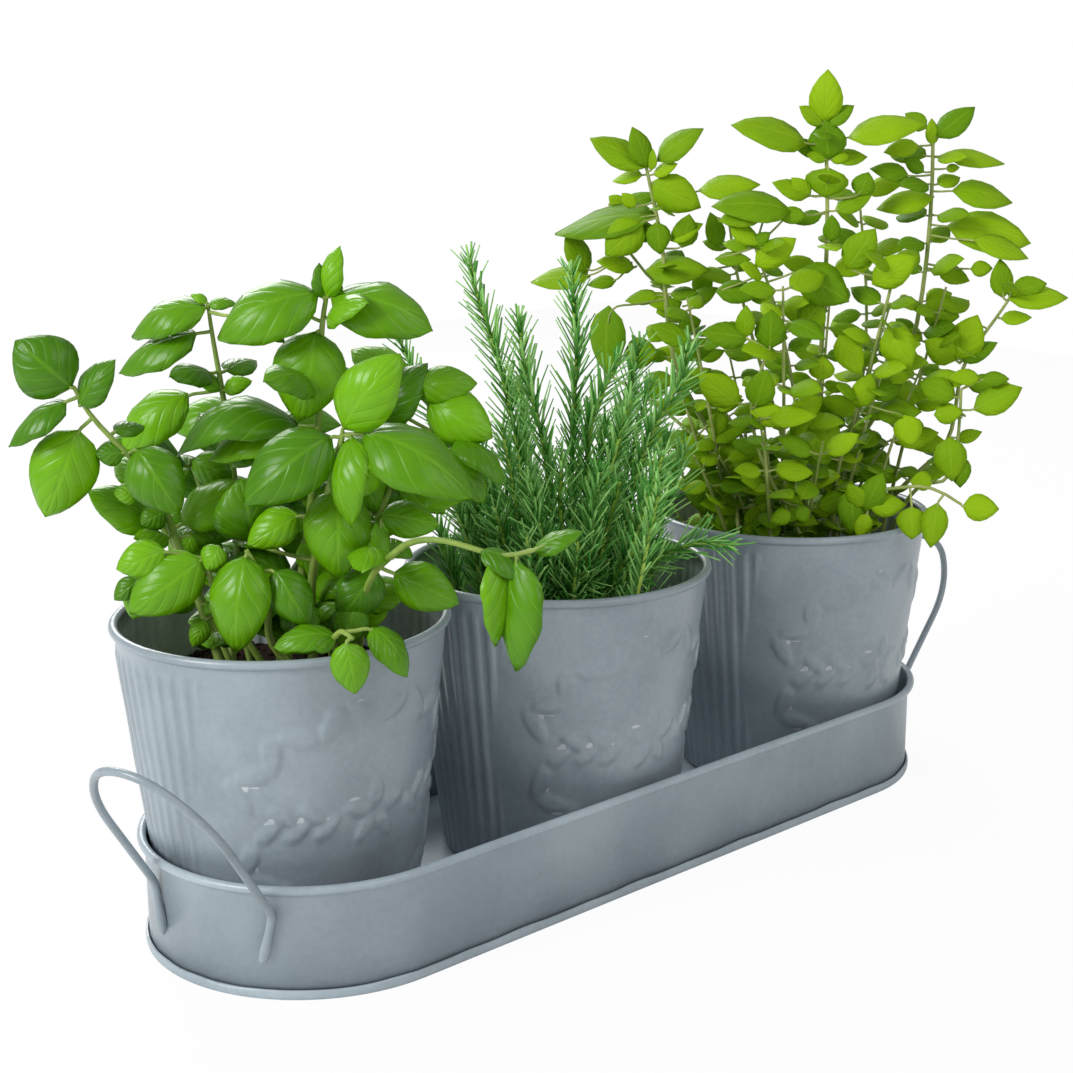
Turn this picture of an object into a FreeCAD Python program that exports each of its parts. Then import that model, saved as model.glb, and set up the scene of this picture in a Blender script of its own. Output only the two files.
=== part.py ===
import FreeCAD
import Part
import Sketcher
import math
import os
from FreeCAD import Placement, Rotation, Vector

# Indoor herb planter: three fluted sheet-metal pots of herbs in a long round-ended tray with a wire handle
# at each end. +X runs along the tray, -Y is the plain side of the pots, +Z is up. The origin is the middle
# of the tray's foot, on the table. Lengths are in millimetres and angles in degrees.

sizes = {
    "tray_height": 42.7,
    "tray_sheet": 0.6,
    "tray_bead": 3.3,
    "hem_drop": 1.8,
    "hem_stand": 0.5,
    "seam_height": 3.4,
    "seam_stand": 1.2,
    "seam_play": 0.1,
    "floor_lift": 2.6,
    "end_play": 10.9,
    "pot_height": 119.2,
    "rim_diameter": 125.0,
    "foot_diameter": 94.8,
    "pot_sheet": 0.5,
    "pot_bead": 3.4,
    "flute_depth": 0.7,
    "flute_width": 3.8,
    "crest_width": 2.0,
    "collar_height": 5.0,
    "foot_hem": 4.0,
    "drain_diameter": 5.0,
    "near_gap": 1.0,
    "middle_shift": 11.5,
    "soil_play": 0.4,
    "soil_drop": 28.4,
    "wire_diameter": 3.0,
    "wire_play": 0.1,
    "handle_width": 53.6,
    "handle_reach": 73.5,
    "handle_crown_radius": 21.0,
    "elbow_height": 32.0,
    "elbow_radius": 6.0,
    "tail_length": 17.0,
    "tail_toe": 3.8,
    "basil_rise": 134.6,
    "rosemary_rise": 117.6,
    "oregano_rise": 192.6,
    "herb_gap": 1.5,
    "basil_leaf": 44.0,
    "oregano_leaf": 25.0,
    "needle_length": 14.0,
    "basil_stem": 4.2,
    "rosemary_stem": 3.2,
    "oregano_stem": 2.4,
    "leaf_thickness": 1.4,
}

handle_lean = 34.2
crown_half_angle = 50.0

doc = FreeCAD.newDocument("HerbPlanter")
sheet = doc.addObject("Spreadsheet::Sheet", "Dimensions")
for row, (alias, value) in enumerate(sizes.items(), start=1):
    sheet.set("A%d" % row, alias.replace("_", " "))
    sheet.set("B%d" % row, str(value))
    sheet.setAlias("B%d" % row, alias)
doc.recompute()


class Size(float):
    # A length that remembers the formula which gives it, so that features can be bound to the sheet.

    def __new__(cls, value, formula):
        made = float.__new__(cls, value)
        made.formula = formula
        return made

    def __add__(self, other):
        return Size(float(self) + float(other), "(%s + %s)" % (self.formula, formula_of(other)))

    def __radd__(self, other):
        return Size(float(other) + float(self), "(%s + %s)" % (formula_of(other), self.formula))

    def __sub__(self, other):
        return Size(float(self) - float(other), "(%s - %s)" % (self.formula, formula_of(other)))

    def __rsub__(self, other):
        return Size(float(other) - float(self), "(%s - %s)" % (formula_of(other), self.formula))

    def __mul__(self, other):
        return Size(float(self) * float(other), "(%s * %s)" % (self.formula, formula_of(other)))

    def __rmul__(self, other):
        return self * other

    def __truediv__(self, other):
        return Size(float(self) / float(other), "(%s / %s)" % (self.formula, formula_of(other)))

    def __neg__(self):
        return self * -1


def formula_of(value):
    return value.formula if isinstance(value, Size) else "%.9f" % value


def size(alias):
    return Size(float(sheet.get(alias)), "Dimensions." + alias)


def slope_angle(across, along):
    turn = math.degrees(math.atan(across / along))
    return Size(turn, "atan(%s / %s)" % (formula_of(across), formula_of(along)))


def bind(item, prop, value):
    item.setExpression(prop, value.formula)


# The pot's cone, from the foot's outer radius to the radius that its rim bead is rolled around.
pot_height = size("pot_height")
rim_radius = size("rim_diameter") / 2
foot_radius = size("foot_diameter") / 2
pot_sheet = size("pot_sheet")
pot_bead = size("pot_bead")
bead_ring = rim_radius - pot_bead / 2
bead_level = pot_height - pot_bead / 2
pot_slope = (bead_ring - foot_radius) / bead_level


def pot_radius(level):
    return foot_radius + pot_slope * level


# The tray is as wide and long as the pots need.
tray_sheet = size("tray_sheet")
tray_height = size("tray_height")
tray_floor = size("floor_lift") + tray_sheet
end_play = size("end_play")
inner_radius = pot_radius(tray_height - tray_floor) + end_play
outer_radius = inner_radius + tray_sheet
tray_bead = size("tray_bead")
bead_height = tray_height - tray_bead / 2

# Places of the pots: the play at an end that the photograph shows each pot to take, as a share of it.
left_play_shares = (0.59, 0.71)
middle_play_share = -0.58
right_play_shares = (0.19, -0.67)
middle_x = -size("middle_shift")
left_x = middle_x - size("rim_diameter") - size("near_gap")
half_straight = -left_x - end_play * left_play_shares[0]
pot_places = {
    "left": (left_x, end_play * left_play_shares[1]),
    "middle": (middle_x, end_play * middle_play_share),
    "right": (half_straight + end_play * right_play_shares[0], end_play * right_play_shares[1]),
}

parts = []


def new_body(name, kept=True):
    body = doc.addObject("PartDesign::Body", name)
    body.Label = name
    if kept:
        parts.append(body)
    return body


def plane_of(body, role):
    return next(item for item in body.Origin.OriginFeatures if item.Role == role)


def new_sketch(body, name, role, level=None):
    sketch = body.newObject("Sketcher::SketchObject", name)
    sketch.AttachmentSupport = (plane_of(body, role), [""])
    sketch.MapMode = "FlatFace"
    if level is not None:
        sketch.setExpression(".AttachmentOffset.Base.z", level.formula)
    return sketch


def pin(sketch, geometry, point, across, up):
    # Hold one point of a sketch at a place that the sheet gives.
    for kind, value in (("DistanceX", across), ("DistanceY", up)):
        index = sketch.addConstraint(Sketcher.Constraint(kind, -1, 1, geometry, point, float(value)))
        if isinstance(value, Size):
            sketch.setExpression("Constraints[%d]" % index, value.formula)


def outline_sketch(body, name, role, corners, level=None):
    # A closed outline of straight runs through the given corners.
    sketch = new_sketch(body, name, role, level)
    spots = [Vector(float(across), float(up), 0) for across, up in corners]
    count = len(spots)
    for i in range(count):
        sketch.addGeometry(Part.LineSegment(spots[i], spots[(i + 1) % count]), False)
    for i in range(count):
        sketch.addConstraint(Sketcher.Constraint("Coincident", i, 2, (i + 1) % count, 1))
        pin(sketch, i, 1, *corners[i])
    return sketch


def obround(sketch, radius):
    # A round-ended outline about the tray's straight run.
    first = len(sketch.Geometry)
    run, bend = float(half_straight), float(radius)
    quarter = math.pi / 2
    sketch.addGeometry(Part.LineSegment(Vector(run, bend, 0), Vector(-run, bend, 0)), False)
    sketch.addGeometry(
        Part.ArcOfCircle(Part.Circle(Vector(-run, 0, 0), Vector(0, 0, 1), bend), quarter, 3 * quarter), False
    )
    sketch.addGeometry(Part.LineSegment(Vector(-run, -bend, 0), Vector(run, -bend, 0)), False)
    sketch.addGeometry(
        Part.ArcOfCircle(Part.Circle(Vector(run, 0, 0), Vector(0, 0, 1), bend), -quarter, quarter), False
    )
    for i in range(4):
        sketch.addConstraint(Sketcher.Constraint("Tangent", first + i, 2, first + (i + 1) % 4, 1))
    pin(sketch, first + 1, 3, -half_straight, 0)
    pin(sketch, first + 3, 3, half_straight, 0)
    index = sketch.addConstraint(Sketcher.Constraint("Radius", first + 3, bend))
    sketch.setExpression("Constraints[%d]" % index, radius.formula)
    return sketch


def obround_sketch(body, name, radii, level=None):
    sketch = new_sketch(body, name, "XY_Plane", level)
    for radius in radii:
        obround(sketch, radius)
    return sketch


def pad(body, name, sketch, length, cut=False, down=False):
    feature = body.newObject("PartDesign::Pocket" if cut else "PartDesign::Pad", name)
    feature.Profile = sketch
    bind(feature, "Length", length)
    feature.Reversed = down
    return feature


def polygon_sketch(body, name, radius, sides, level):
    # A many-sided outline on a circle, with a corner on the X axis.
    sketch = new_sketch(body, name, "XY_Plane", level)
    reach = float(radius)
    turns = [2 * math.pi * k / sides for k in range(sides)]
    spots = [Vector(reach * math.cos(turn), reach * math.sin(turn), 0) for turn in turns]
    lines = [Part.LineSegment(spots[k], spots[(k + 1) % sides]) for k in range(sides)]
    sketch.addGeometry(lines, False)
    sketch.addGeometry(Part.Circle(Vector(0, 0, 0), Vector(0, 0, 1), reach), True)
    held = [Sketcher.Constraint("Coincident", k, 2, (k + 1) % sides, 1) for k in range(sides)]
    held += [Sketcher.Constraint("PointOnObject", k, 1, sides) for k in range(sides)]
    held += [Sketcher.Constraint("Equal", 0, k) for k in range(1, sides)]
    held.append(Sketcher.Constraint("Coincident", sides, 3, -1, 1))
    held.append(Sketcher.Constraint("PointOnObject", 0, 1, -1))
    sketch.addConstraint(held)
    index = sketch.addConstraint(Sketcher.Constraint("Radius", sides, reach))
    sketch.setExpression("Constraints[%d]" % index, radius.formula)
    return sketch


def tapered(body, name, radius, sides, level, length, lean=None, cut=False, down=False):
    # A many-sided pad or pocket whose sides lean outwards, away from its outline, by an angle.
    outline = polygon_sketch(body, name + "_outline", radius, sides, level)
    feature = pad(body, name, outline, length, cut, down)
    if lean is not None:
        bind(feature, "TaperAngle", lean)
    return feature


def bead_corners(ring, level, diameter, sides):
    # A rolled edge, drawn with flats.
    corner_radius = diameter / 2 / math.cos(math.pi / sides)
    turns = [2 * math.pi * (i + 0.5) / sides for i in range(sides)]
    return [(ring + corner_radius * math.cos(turn), level + corner_radius * math.sin(turn)) for turn in turns]


def flattened(name, body):
    # The body's solid with each flat side that a taper left as a ruled surface made a plane.
    faces = []
    for face in body.Shape.Faces:
        if isinstance(face.Surface, (Part.Plane, Part.Cylinder)):
            faces.append(face)
        else:
            rims = [[vertex.Point for vertex in wire.OrderedVertexes] for wire in face.Wires]
            faces.append(Part.Face([Part.makePolygon(rim + rim[:1]) for rim in rims]))
    item = doc.addObject("Part::Feature", name)
    item.Label = name
    item.Shape = Part.Solid(Part.Shell(faces))
    parts.append(item)
    return item


def make_tray_wall():
    # One strip bent round and rolled outwards at the rim, with its edge laid back against the wall as a
    # shallow step under the bead.
    body = new_body("tray_wall")
    strip = obround_sketch(body, "wall_outline", [outer_radius, inner_radius], tray_sheet)
    pad(body, "wall_strip", strip, bead_height - tray_sheet)
    ring = inner_radius + tray_bead / 2
    corners = bead_corners(half_straight + ring, bead_height, tray_bead, 8)
    hem_edge = half_straight + outer_radius + size("hem_stand")
    hem_foot = tray_height - tray_bead - size("hem_drop")
    corners = corners[:5] + [
        (half_straight + outer_radius - tray_sheet / 2, hem_foot),
        (hem_edge, hem_foot),
        (hem_edge, tray_height - tray_bead),
    ] + corners[6:]
    profile = outline_sketch(body, "rim_profile", "XZ_Plane", corners)
    path = obround_sketch(body, "rim_path", [ring], bead_height)
    doc.recompute()
    rim = body.newObject("PartDesign::AdditivePipe", "rim_roll")
    rim.Profile = profile
    rim.Spine = (path, ["Edge1", "Edge2", "Edge3", "Edge4"])
    rim.Transition = "Round corner"
    return body


def make_tray_base():
    # A pressed bottom: a raised floor, and round it a channel that the wall's foot stands in.
    body = new_body("tray_base")
    lip = outer_radius + size("seam_stand")
    channel_inner = inner_radius - size("seam_play")
    seam_height = size("seam_height")
    pad(body, "base_blank", obround_sketch(body, "base_outline", [lip]), seam_height)
    channel = obround_sketch(body, "channel_outline", [lip - tray_sheet, channel_inner], seam_height)
    pad(body, "seam_channel", channel, seam_height - tray_sheet, cut=True)
    well = obround_sketch(body, "floor_outline", [channel_inner], seam_height)
    pad(body, "floor_well", well, seam_height - tray_floor, cut=True)
    recess = obround_sketch(body, "recess_outline", [channel_inner - tray_sheet])
    pad(body, "foot_recess", recess, size("floor_lift"), cut=True, down=True)
    return body


def make_pot_shell(side, place):
    # A tapered sheet pot: a rim rolled outwards, ribs pressed out round the sides and back, a plain front,
    # and a foot turned in to hold the base. It is drawn with flats as wide as the ribs' pitch.
    body = new_body(side + "_shell_body", kept=False)
    lean = slope_angle(pot_slope * flat_share, 1)
    bevel = pot_bead * bead_bevel_share
    bevel_lean = slope_angle(bevel * flat_share, bevel)
    crown = bead_ring + pot_bead / 2
    tapered(body, side + "_cone", foot_radius, pot_sides, None, bead_level, lean)
    low = bead_level - pot_bead / 2
    tapered(body, side + "_bead_under", crown - bevel, pot_sides, low, bevel, bevel_lean)
    tapered(body, side + "_bead_belt", crown, pot_sides, low + bevel, pot_bead - bevel * 2)
    tapered(body, side + "_bead_top", crown, pot_sides, pot_height - bevel, bevel, -bevel_lean)
    # One rib, on the flat next to the plain front; the pattern carries it round.
    across = math.cos(math.radians(first_flute))
    up = math.sin(math.radians(first_flute))
    face = foot_radius * flat_share
    root, crest = face - pot_sheet / 2, face + size("flute_depth")
    root_half, crest_half = size("flute_width") / 2, size("crest_width") / 2
    corners = [
        (out * across - half * up, out * up + half * across)
        for out, half in ((root, root_half), (root, -root_half), (crest, -crest_half), (crest, crest_half))
    ]
    rib_top = bead_level - pot_bead / 2 - size("collar_height")
    rib = pad(body, side + "_rib", outline_sketch(body, side + "_rib_outline", "XY_Plane", corners), rib_top)
    rib.UseCustomVector = True
    rib.AlongSketchNormal = True
    rib.Direction = Vector(pot_slope * flat_share * across, pot_slope * flat_share * up, 1)
    doc.recompute()
    ribs = body.newObject("PartDesign::PolarPattern", side + "_ribs")
    ribs.Originals = [rib]
    ribs.Axis = (rib.Profile[0], ["N_Axis"])
    ribs.Angle = flute_pitch * (flute_count - 1)
    ribs.Occurrences = flute_count
    body.Tip = ribs
    hollow_foot = pot_radius(pot_sheet) - pot_sheet
    depth = pot_height - pot_sheet
    tapered(body, side + "_hollow", hollow_foot, pot_sides, pot_sheet, depth, lean, cut=True, down=True)
    hem_inner = foot_radius - size("foot_hem")
    tapered(body, side + "_foot_mouth", hem_inner, base_sides, pot_sheet, pot_sheet, cut=True)
    body.Placement = place
    doc.recompute()
    return flattened(side + "_pot_shell", body)


def make_pot_base(side, place):
    # A pressed disc lying on the turned-in foot, with a drain hole in the middle.
    body = new_body(side + "_pot_base")
    radius = pot_radius(pot_sheet) * flat_share - pot_sheet - size("soil_play")
    tapered(body, side + "_disc", radius, base_sides, pot_sheet, pot_sheet)
    drain = size("drain_diameter") / 2
    tapered(body, side + "_drain", drain, drain_sides, pot_sheet * 2, pot_sheet, cut=True)
    body.Placement = place
    return body


def make_soil(side, place):
    # The plug of soil: flat on the base, level on top, a little clear of the shell all round.
    body = new_body(side + "_soil_body", kept=False)
    radius = pot_radius(soil_foot) * flat_share - pot_sheet - size("soil_play")
    lean = slope_angle(pot_slope * math.cos(math.pi / base_sides), 1)
    tapered(body, side + "_plug", radius, base_sides, soil_foot, soil_level - soil_foot, lean)
    body.Placement = place
    doc.recompute()
    return flattened(side + "_soil", body)


def unit(vector):
    return vector / vector.Length


def rounded(points, radius):
    # The edges of straight runs through the points, with a tangent arc at each inner one.
    edges = []
    at = points[0]
    for before, corner, after in zip(points, points[1:], points[2:]):
        come, leave = unit(corner - before), unit(after - corner)
        turn = come.getAngle(leave)
        reach = radius * math.tan(turn / 2)
        first, last = corner - come * reach, corner + leave * reach
        inward = unit(leave - come)
        middle = corner + inward * (radius / math.cos(turn / 2) - radius)
        edges += [Part.LineSegment(at, first).toShape(), Part.Arc(first, middle, last).toShape()]
        at = last
    edges.append(Part.LineSegment(at, points[-1]).toShape())
    return edges


def handle_path():
    # Tail up the wall, elbow, a straight, then a crown of three tangent arcs, and the same down again. The
    # frame is that of the tray's round end: X outwards, Y along the wall.
    wire = float(size("wire_diameter")) / 2 + float(size("wire_play"))
    lean = math.radians(handle_lean)
    half = float(size("handle_width")) / 2
    crown = float(size("handle_crown_radius"))
    reach = float(size("handle_reach"))
    elbow_height = float(size("elbow_height"))
    fan = math.radians(crown_half_angle)
    shoulder = (half - crown * math.sin(fan)) / (1 - math.sin(fan))
    drop = shoulder - crown

    def wall_spot(y, z):
        ring = float(outer_radius) + wire
        return Vector(math.sqrt(ring * ring - y * y), y, z)

    elbow = wall_spot(half, elbow_height)

    def spot(y, rise):
        return Vector(elbow.x + rise * math.sin(lean), y, elbow.z + rise * math.cos(lean))

    def crown_spot(turn):
        return spot(crown * math.sin(turn), reach - crown + crown * math.cos(turn))

    def shoulder_spot(side, turn):
        across = -drop * math.sin(fan) + shoulder * math.sin(turn)
        return spot(side * across, reach - crown - drop * math.cos(fan) + shoulder * math.cos(turn))

    edges = []
    for side in (1, -1):
        tail = wall_spot(side * (half - float(size("tail_toe"))), elbow_height - float(size("tail_length")))
        bend = Vector(elbow.x, side * half, elbow.z)
        top = shoulder_spot(side, math.pi / 2)
        arcs = [Part.Arc(top, shoulder_spot(side, (fan + math.pi / 2) / 2), crown_spot(side * fan)).toShape()]
        edges.append(rounded([tail, bend, top], float(size("elbow_radius"))) + arcs)
    middle = Part.Arc(crown_spot(fan), crown_spot(0), crown_spot(-fan)).toShape()
    return Part.Wire(Part.__sortEdges__(edges[0] + [middle] + edges[1]))


def make_handles():
    # Wire of round section, drawn with eight flats, swept along the bent path, one at each end.
    path = doc.addObject("Part::Feature", "handle_path")
    path.Shape = handle_path()
    first = path.Shape.OrderedEdges[0]
    start = path.Shape.OrderedVertexes[0].Point
    section = doc.addObject("Part::RegularPolygon", "handle_section")
    section.Polygon = 8
    bind(section, "Circumradius", size("wire_diameter") / 2)
    section.Placement = Placement(start, Rotation(Vector(0, 0, 1), first.tangentAt(first.FirstParameter)))
    wires = []
    for name, end, turn in handle_ends:
        wire = doc.addObject("Part::Sweep", name)
        wire.Sections = [section]
        wire.Spine = (path, ["Edge%d" % (i + 1) for i in range(len(path.Shape.Edges))])
        wire.Solid = True
        wire.Placement = Placement(Vector(float(end), 0, 0), Rotation(Vector(0, 0, 1), turn))
        wires.append(wire)
    pair = doc.addObject("Part::Compound", "wire_handles")
    pair.Label = "wire_handles"
    pair.Links = wires
    parts.append(pair)
    return pair


def solid_of(spots, faces):
    skin = [Part.Face(Part.makePolygon([spots[k] for k in face] + [spots[face[0]]])) for face in faces]
    solid = Part.Solid(Part.Shell(skin))
    if solid.Volume < 0:
        solid.reverse()
    return solid


def leaf_solid(foot, tip, width):
    # A leaf as a thin lens: six edge points, and one point above and one below the midrib.
    along = tip - foot
    side = unit(along.cross(Vector(0, 0, 1)))
    face = unit(side.cross(along))
    spots = [foot]
    for reach_share, width_share in leaf_edge_shares:
        spots.append(foot + along * reach_share + side * (width * width_share / 2) + face * leaf_thickness)
    spots.append(tip)
    for reach_share, width_share in reversed(leaf_edge_shares):
        spots.append(foot + along * reach_share - side * (width * width_share / 2) + face * leaf_thickness)
    middle = foot + along / 2
    spots += [middle + face * (leaf_thickness / 2), middle - face * (leaf_thickness / 2)]
    faces = []
    for k in range(6):
        after = (k + 1) % 6
        faces += [(k, after, 6), (after, k, 7)]
    return solid_of(spots, faces)


def stem_solid(spots, foot_width, top_width):
    # A square stem along its points, tapering, flat on the soil.
    rings = []
    last = len(spots) - 1
    for i, spot in enumerate(spots):
        width = foot_width + (top_width - foot_width) * i / last
        along = Vector(0, 0, 1) if i == 0 else unit(spots[min(i + 1, last)] - spots[i - 1])
        side = unit(along.cross(stem_facing))
        other = along.cross(side)
        rings.append([spot + (side * a + other * b) * (width / 2) for a, b in square_corners])
    points = [point for ring in rings for point in ring]
    faces = [(3, 2, 1, 0), tuple(4 * last + k for k in range(4))]
    for i in range(last):
        for k in range(4):
            a, b = 4 * i + k, 4 * i + (k + 1) % 4
            faces += [(a, b, b + 4), (a, b + 4, a + 4)]
    return solid_of(points, faces)


def brush_solid(spots, stem_width, reach):
    # A sprig as one brush: a bare stem, then rings that stand out and draw in again up to the tip.
    rings = []
    last = len(spots) - 1
    for i, spot in enumerate(spots):
        along = Vector(0, 0, 1) if i == 0 else unit(spots[min(i + 1, last)] - spots[i - 1])
        side = unit(along.cross(stem_facing))
        other = along.cross(side)
        share = i / last
        if share < brush_start_share or i % 2 == 0:
            radius = stem_width / 2
        else:
            radius = reach * (1 + (brush_tip_share - 1) * share)
        rings.append([
            spot + (side * math.cos(turn) + other * math.sin(turn)) * radius
            for turn in (2 * math.pi * k / needle_count for k in range(needle_count))
        ])
    points = [point for ring in rings for point in ring]
    top = needle_count * last
    faces = [tuple(reversed(range(needle_count))), tuple(range(top, top + needle_count))]
    for i in range(last):
        for k in range(needle_count):
            a, b = needle_count * i + k, needle_count * i + (k + 1) % needle_count
            faces += [(a, b, b + needle_count), (a, b + needle_count, a + needle_count)]
    return solid_of(points, faces)


def curve_spot(curve, share):
    # A place on a stem's bow, which runs from its foot by way of its knee to its head.
    foot, knee, head = curve
    left = 1 - share
    return foot * (left * left) + knee * (2 * share * left) + head * (share * share)


def stem_spots(curve, runs):
    return [curve_spot(curve, i / runs) for i in range(runs + 1)]


def spot_on(spots, share):
    # A place on a stem's straight runs, and the stem's direction there.
    last = len(spots) - 1
    i = min(int(share * last), last - 1)
    run = spots[i + 1] - spots[i]
    return spots[i] + run * (share * last - i), unit(run)


def stem_curve(row, rise):
    # A row holds a sprig's foot and head, across and towards the front-left quarter, in rim radii, and its
    # head's height over the soil as a share of the plant's rise.
    foot_across, foot_out, head_across, head_out, height_share = row[:5]
    turn = math.radians(spread_turn)
    ground = float(soil_level)

    def spot(across, out, height):
        x = across * math.cos(turn) + out * math.sin(turn)
        y = across * math.sin(turn) - out * math.cos(turn)
        return Vector(x * float(rim_radius), y * float(rim_radius), ground + height)

    foot = spot(foot_across, foot_out, 0)
    head = spot(head_across, head_out, height_share * rise)
    run = head - foot
    return foot, foot + Vector(run.x * bow_share, run.y * bow_share, run.z * knee_share), head


def meets_wall(foot, reach, width):
    # Whether a leaf comes too near the pot's wall or rim anywhere along its midrib or edges.
    side = unit(reach.cross(Vector(0, 0, 1))) * (width / 2)
    for share in leaf_check_shares:
        for edge in (-1, 0, 1):
            spot = foot + reach * share + side * edge
            room = float(pot_radius(spot.z)) * flat_share - wall_room
            if spot.z < rim_level and math.hypot(spot.x, spot.y) > room:
                return True
    return False


def leafy_sprig(row, rise, stem_width, fence, leaf_length, leaf_share):
    # A square stem with leaves in pairs, each pair turned a quarter from the one below. A leaf that would
    # reach the next pot's herb or its own pot's wall is shorter.
    pairs, twist = row[5:]
    spots = stem_spots(stem_curve(row, rise), stem_runs)
    solids = [stem_solid(spots, stem_width, stem_width * stem_tip_share)]
    for i in range(pairs):
        share = first_pair_share + (1 - first_pair_share) * i / (pairs - 1)
        at, along = spot_on(spots, min(share, last_pair_share))
        length = leaf_length * (1 + (top_leaf_share - 1) * share)
        for side in (0, 180):
            turn = math.radians(twist + 90 * i + side)
            outward = unit(Vector(math.cos(turn), math.sin(turn), 0) + along * leaf_lift)
            room = (fence[1] - at.x) if outward.x > 0 else (at.x - fence[0])
            span = min(length, room / abs(outward.x)) if outward.x else length
            least = leaf_length * least_leaf_share
            while span > least and meets_wall(at, outward * span, span * leaf_share):
                span *= leaf_trim_share
            if span > least:
                root = stem_width * leaf_root_share * (1 + (stem_tip_share - 1) * share)
                solids.append(leaf_solid(at + outward * root, at + outward * span, span * leaf_share))
    return solids


def brush_sprig(row, rise, stem_width, fence, needle, share):
    spots = stem_spots(stem_curve(row, rise), brush_runs)
    widest = min(min(fence[1] - spot.x, spot.x - fence[0]) for spot in spots)
    return [brush_solid(spots, stem_width, min(needle * share, widest))]


def make_herb(name, side, rise, stem, leaf, leaf_share, sprigs, make_sprig):
    # The sprigs of one pot, fused where they meet, growing from the soil's level top.
    fence = [edge - float(pot_places[side][0]) for edge in fences[side]]
    height = float(size(rise) + size("soil_drop"))
    solids = []
    for row in sprigs:
        solids += make_sprig(row, height, float(size(stem)), fence, float(size(leaf)), leaf_share)
    item = doc.addObject("Part::Feature", name)
    item.Label = name
    item.Shape = solids[0].multiFuse(solids[1:]).removeSplitter()
    item.Placement = pot_place(side)
    parts.append(item)


pot_sides = 60
flute_count = 36
first_flute = -15.0
flute_pitch = 360.0 / pot_sides
flat_share = math.cos(math.pi / pot_sides)
base_sides = 20
drain_sides = 12
bead_bevel_share = 1 - math.sqrt(0.5)
handle_ends = (("left_wire", -half_straight, 196.5), ("right_wire", half_straight, -7.0))
soil_foot = pot_sheet * 2
soil_level = pot_height - size("soil_drop")
leaf_thickness = float(size("leaf_thickness"))
wall_room = float(pot_bead) + leaf_thickness
rim_level = float(pot_height) + leaf_thickness

# Each herb keeps to its own stretch of the tray, so that a pot lifts out past its neighbours.
half_gap = size("herb_gap") / 2
first_fence = (left_x + middle_x) / 2
second_fence = (middle_x + pot_places["right"][0]) / 2
far = float(half_straight) * 2
fences = {
    "left": (-far, float(first_fence - half_gap)),
    "middle": (float(first_fence + half_gap), float(second_fence - half_gap)),
    "right": (float(second_fence + half_gap), far),
}

spread_turn = -42.0
bow_share = 0.25
knee_share = 0.6
stem_runs = 3
stem_tip_share = 0.5
square_corners = ((1, 1), (-1, 1), (-1, -1), (1, -1))
first_pair_share = 0.3
last_pair_share = 0.97
top_leaf_share = 0.7
least_leaf_share = 0.35
leaf_root_share = 0.25
leaf_lift = 0.35
leaf_trim_share = 0.9
leaf_check_shares = (0.0, 0.2, 0.4, 0.6, 0.8, 1.0)
leaf_edge_shares = ((0.3, 0.9), (0.7, 0.8))
needle_count = 4
brush_runs = 10
brush_start_share = 0.2
brush_tip_share = 0.5
stem_facing = Vector(0.31, 1, 0)
basil_width_share = 0.66
oregano_width_share = 0.62
needle_reach_share = 0.65

# Sprigs: foot and head across and out, height, then leaf pairs and the first pair's turn in degrees.
basil_sprigs = [
    (0.05, 0.1, 0.0, 0.1, 0.98, 4, 30),
    (-0.25, 0.1, -1.15, 0.1, 0.72, 3, 60),
    (-0.3, -0.1, -0.6, -0.3, 0.86, 3, 10),
    (0.2, -0.1, 0.5, 0.15, 0.84, 3, 75),
    (0.3, 0.2, 0.85, 0.5, 0.62, 3, 40),
    (-0.1, 0.3, -0.35, 0.7, 0.5, 2, 0),
    (0.2, 0.35, 0.3, 0.85, 0.36, 2, 50),
    (-0.35, 0.2, -0.8, 0.5, 0.36, 2, 20),
    (0.35, 0.3, 1.15, 1.1, 0.35, 2, 80),
]
rosemary_sprigs = [
    (-0.1, 0.0, -0.75, -0.1, 0.98),
    (0.1, 0.1, 0.25, 0.1, 0.93),
    (-0.25, 0.1, -0.35, 0.3, 0.72),
    (0.25, -0.1, 0.65, 0.0, 0.7),
    (0.3, 0.1, 1.0, 0.1, 0.62),
    (-0.3, -0.2, -0.3, -0.6, 0.6),
    (0.2, -0.3, 0.3, -0.8, 0.55),
    (0.35, 0.3, 1.3, 0.55, 0.38),
    (-0.35, 0.3, -0.7, 0.7, 0.35),
    (0.0, 0.4, 0.25, 0.85, 0.3),
]
oregano_sprigs = [
    (0.1, 0.1, 0.15, 0.1, 1.0, 4, 0),
    (-0.3, 0.0, -1.0, -0.2, 0.84, 4, 30),
    (-0.35, -0.1, -1.2, -0.6, 0.62, 3, 60),
    (0.3, 0.0, 0.95, 0.2, 0.86, 4, 15),
    (0.35, -0.2, 1.4, 0.4, 0.6, 4, 45),
    (0.0, -0.3, 0.1, -0.8, 0.85, 3, 75),
    (-0.1, 0.3, -0.3, 0.7, 0.6, 3, 20),
    (0.3, 0.25, 1.1, 0.7, 0.34, 2, 10),
    (-0.3, 0.25, -0.8, 0.4, 0.4, 2, 40),
]


def pot_place(side):
    x, y = pot_places[side]
    return Placement(Vector(float(x), float(y), float(tray_floor)), Rotation())


make_tray_wall()
make_tray_base()
make_handles()
for side in pot_places:
    make_pot_shell(side, pot_place(side))
    make_pot_base(side, pot_place(side))
    make_soil(side, pot_place(side))
make_herb(
    "basil_plant", "left", "basil_rise", "basil_stem", "basil_leaf", basil_width_share,
    basil_sprigs, leafy_sprig
)
make_herb(
    "rosemary_plant", "middle", "rosemary_rise", "rosemary_stem", "needle_length", needle_reach_share,
    rosemary_sprigs, brush_sprig
)
make_herb(
    "oregano_plant", "right", "oregano_rise", "oregano_stem", "oregano_leaf", oregano_width_share,
    oregano_sprigs, leafy_sprig
)

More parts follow.
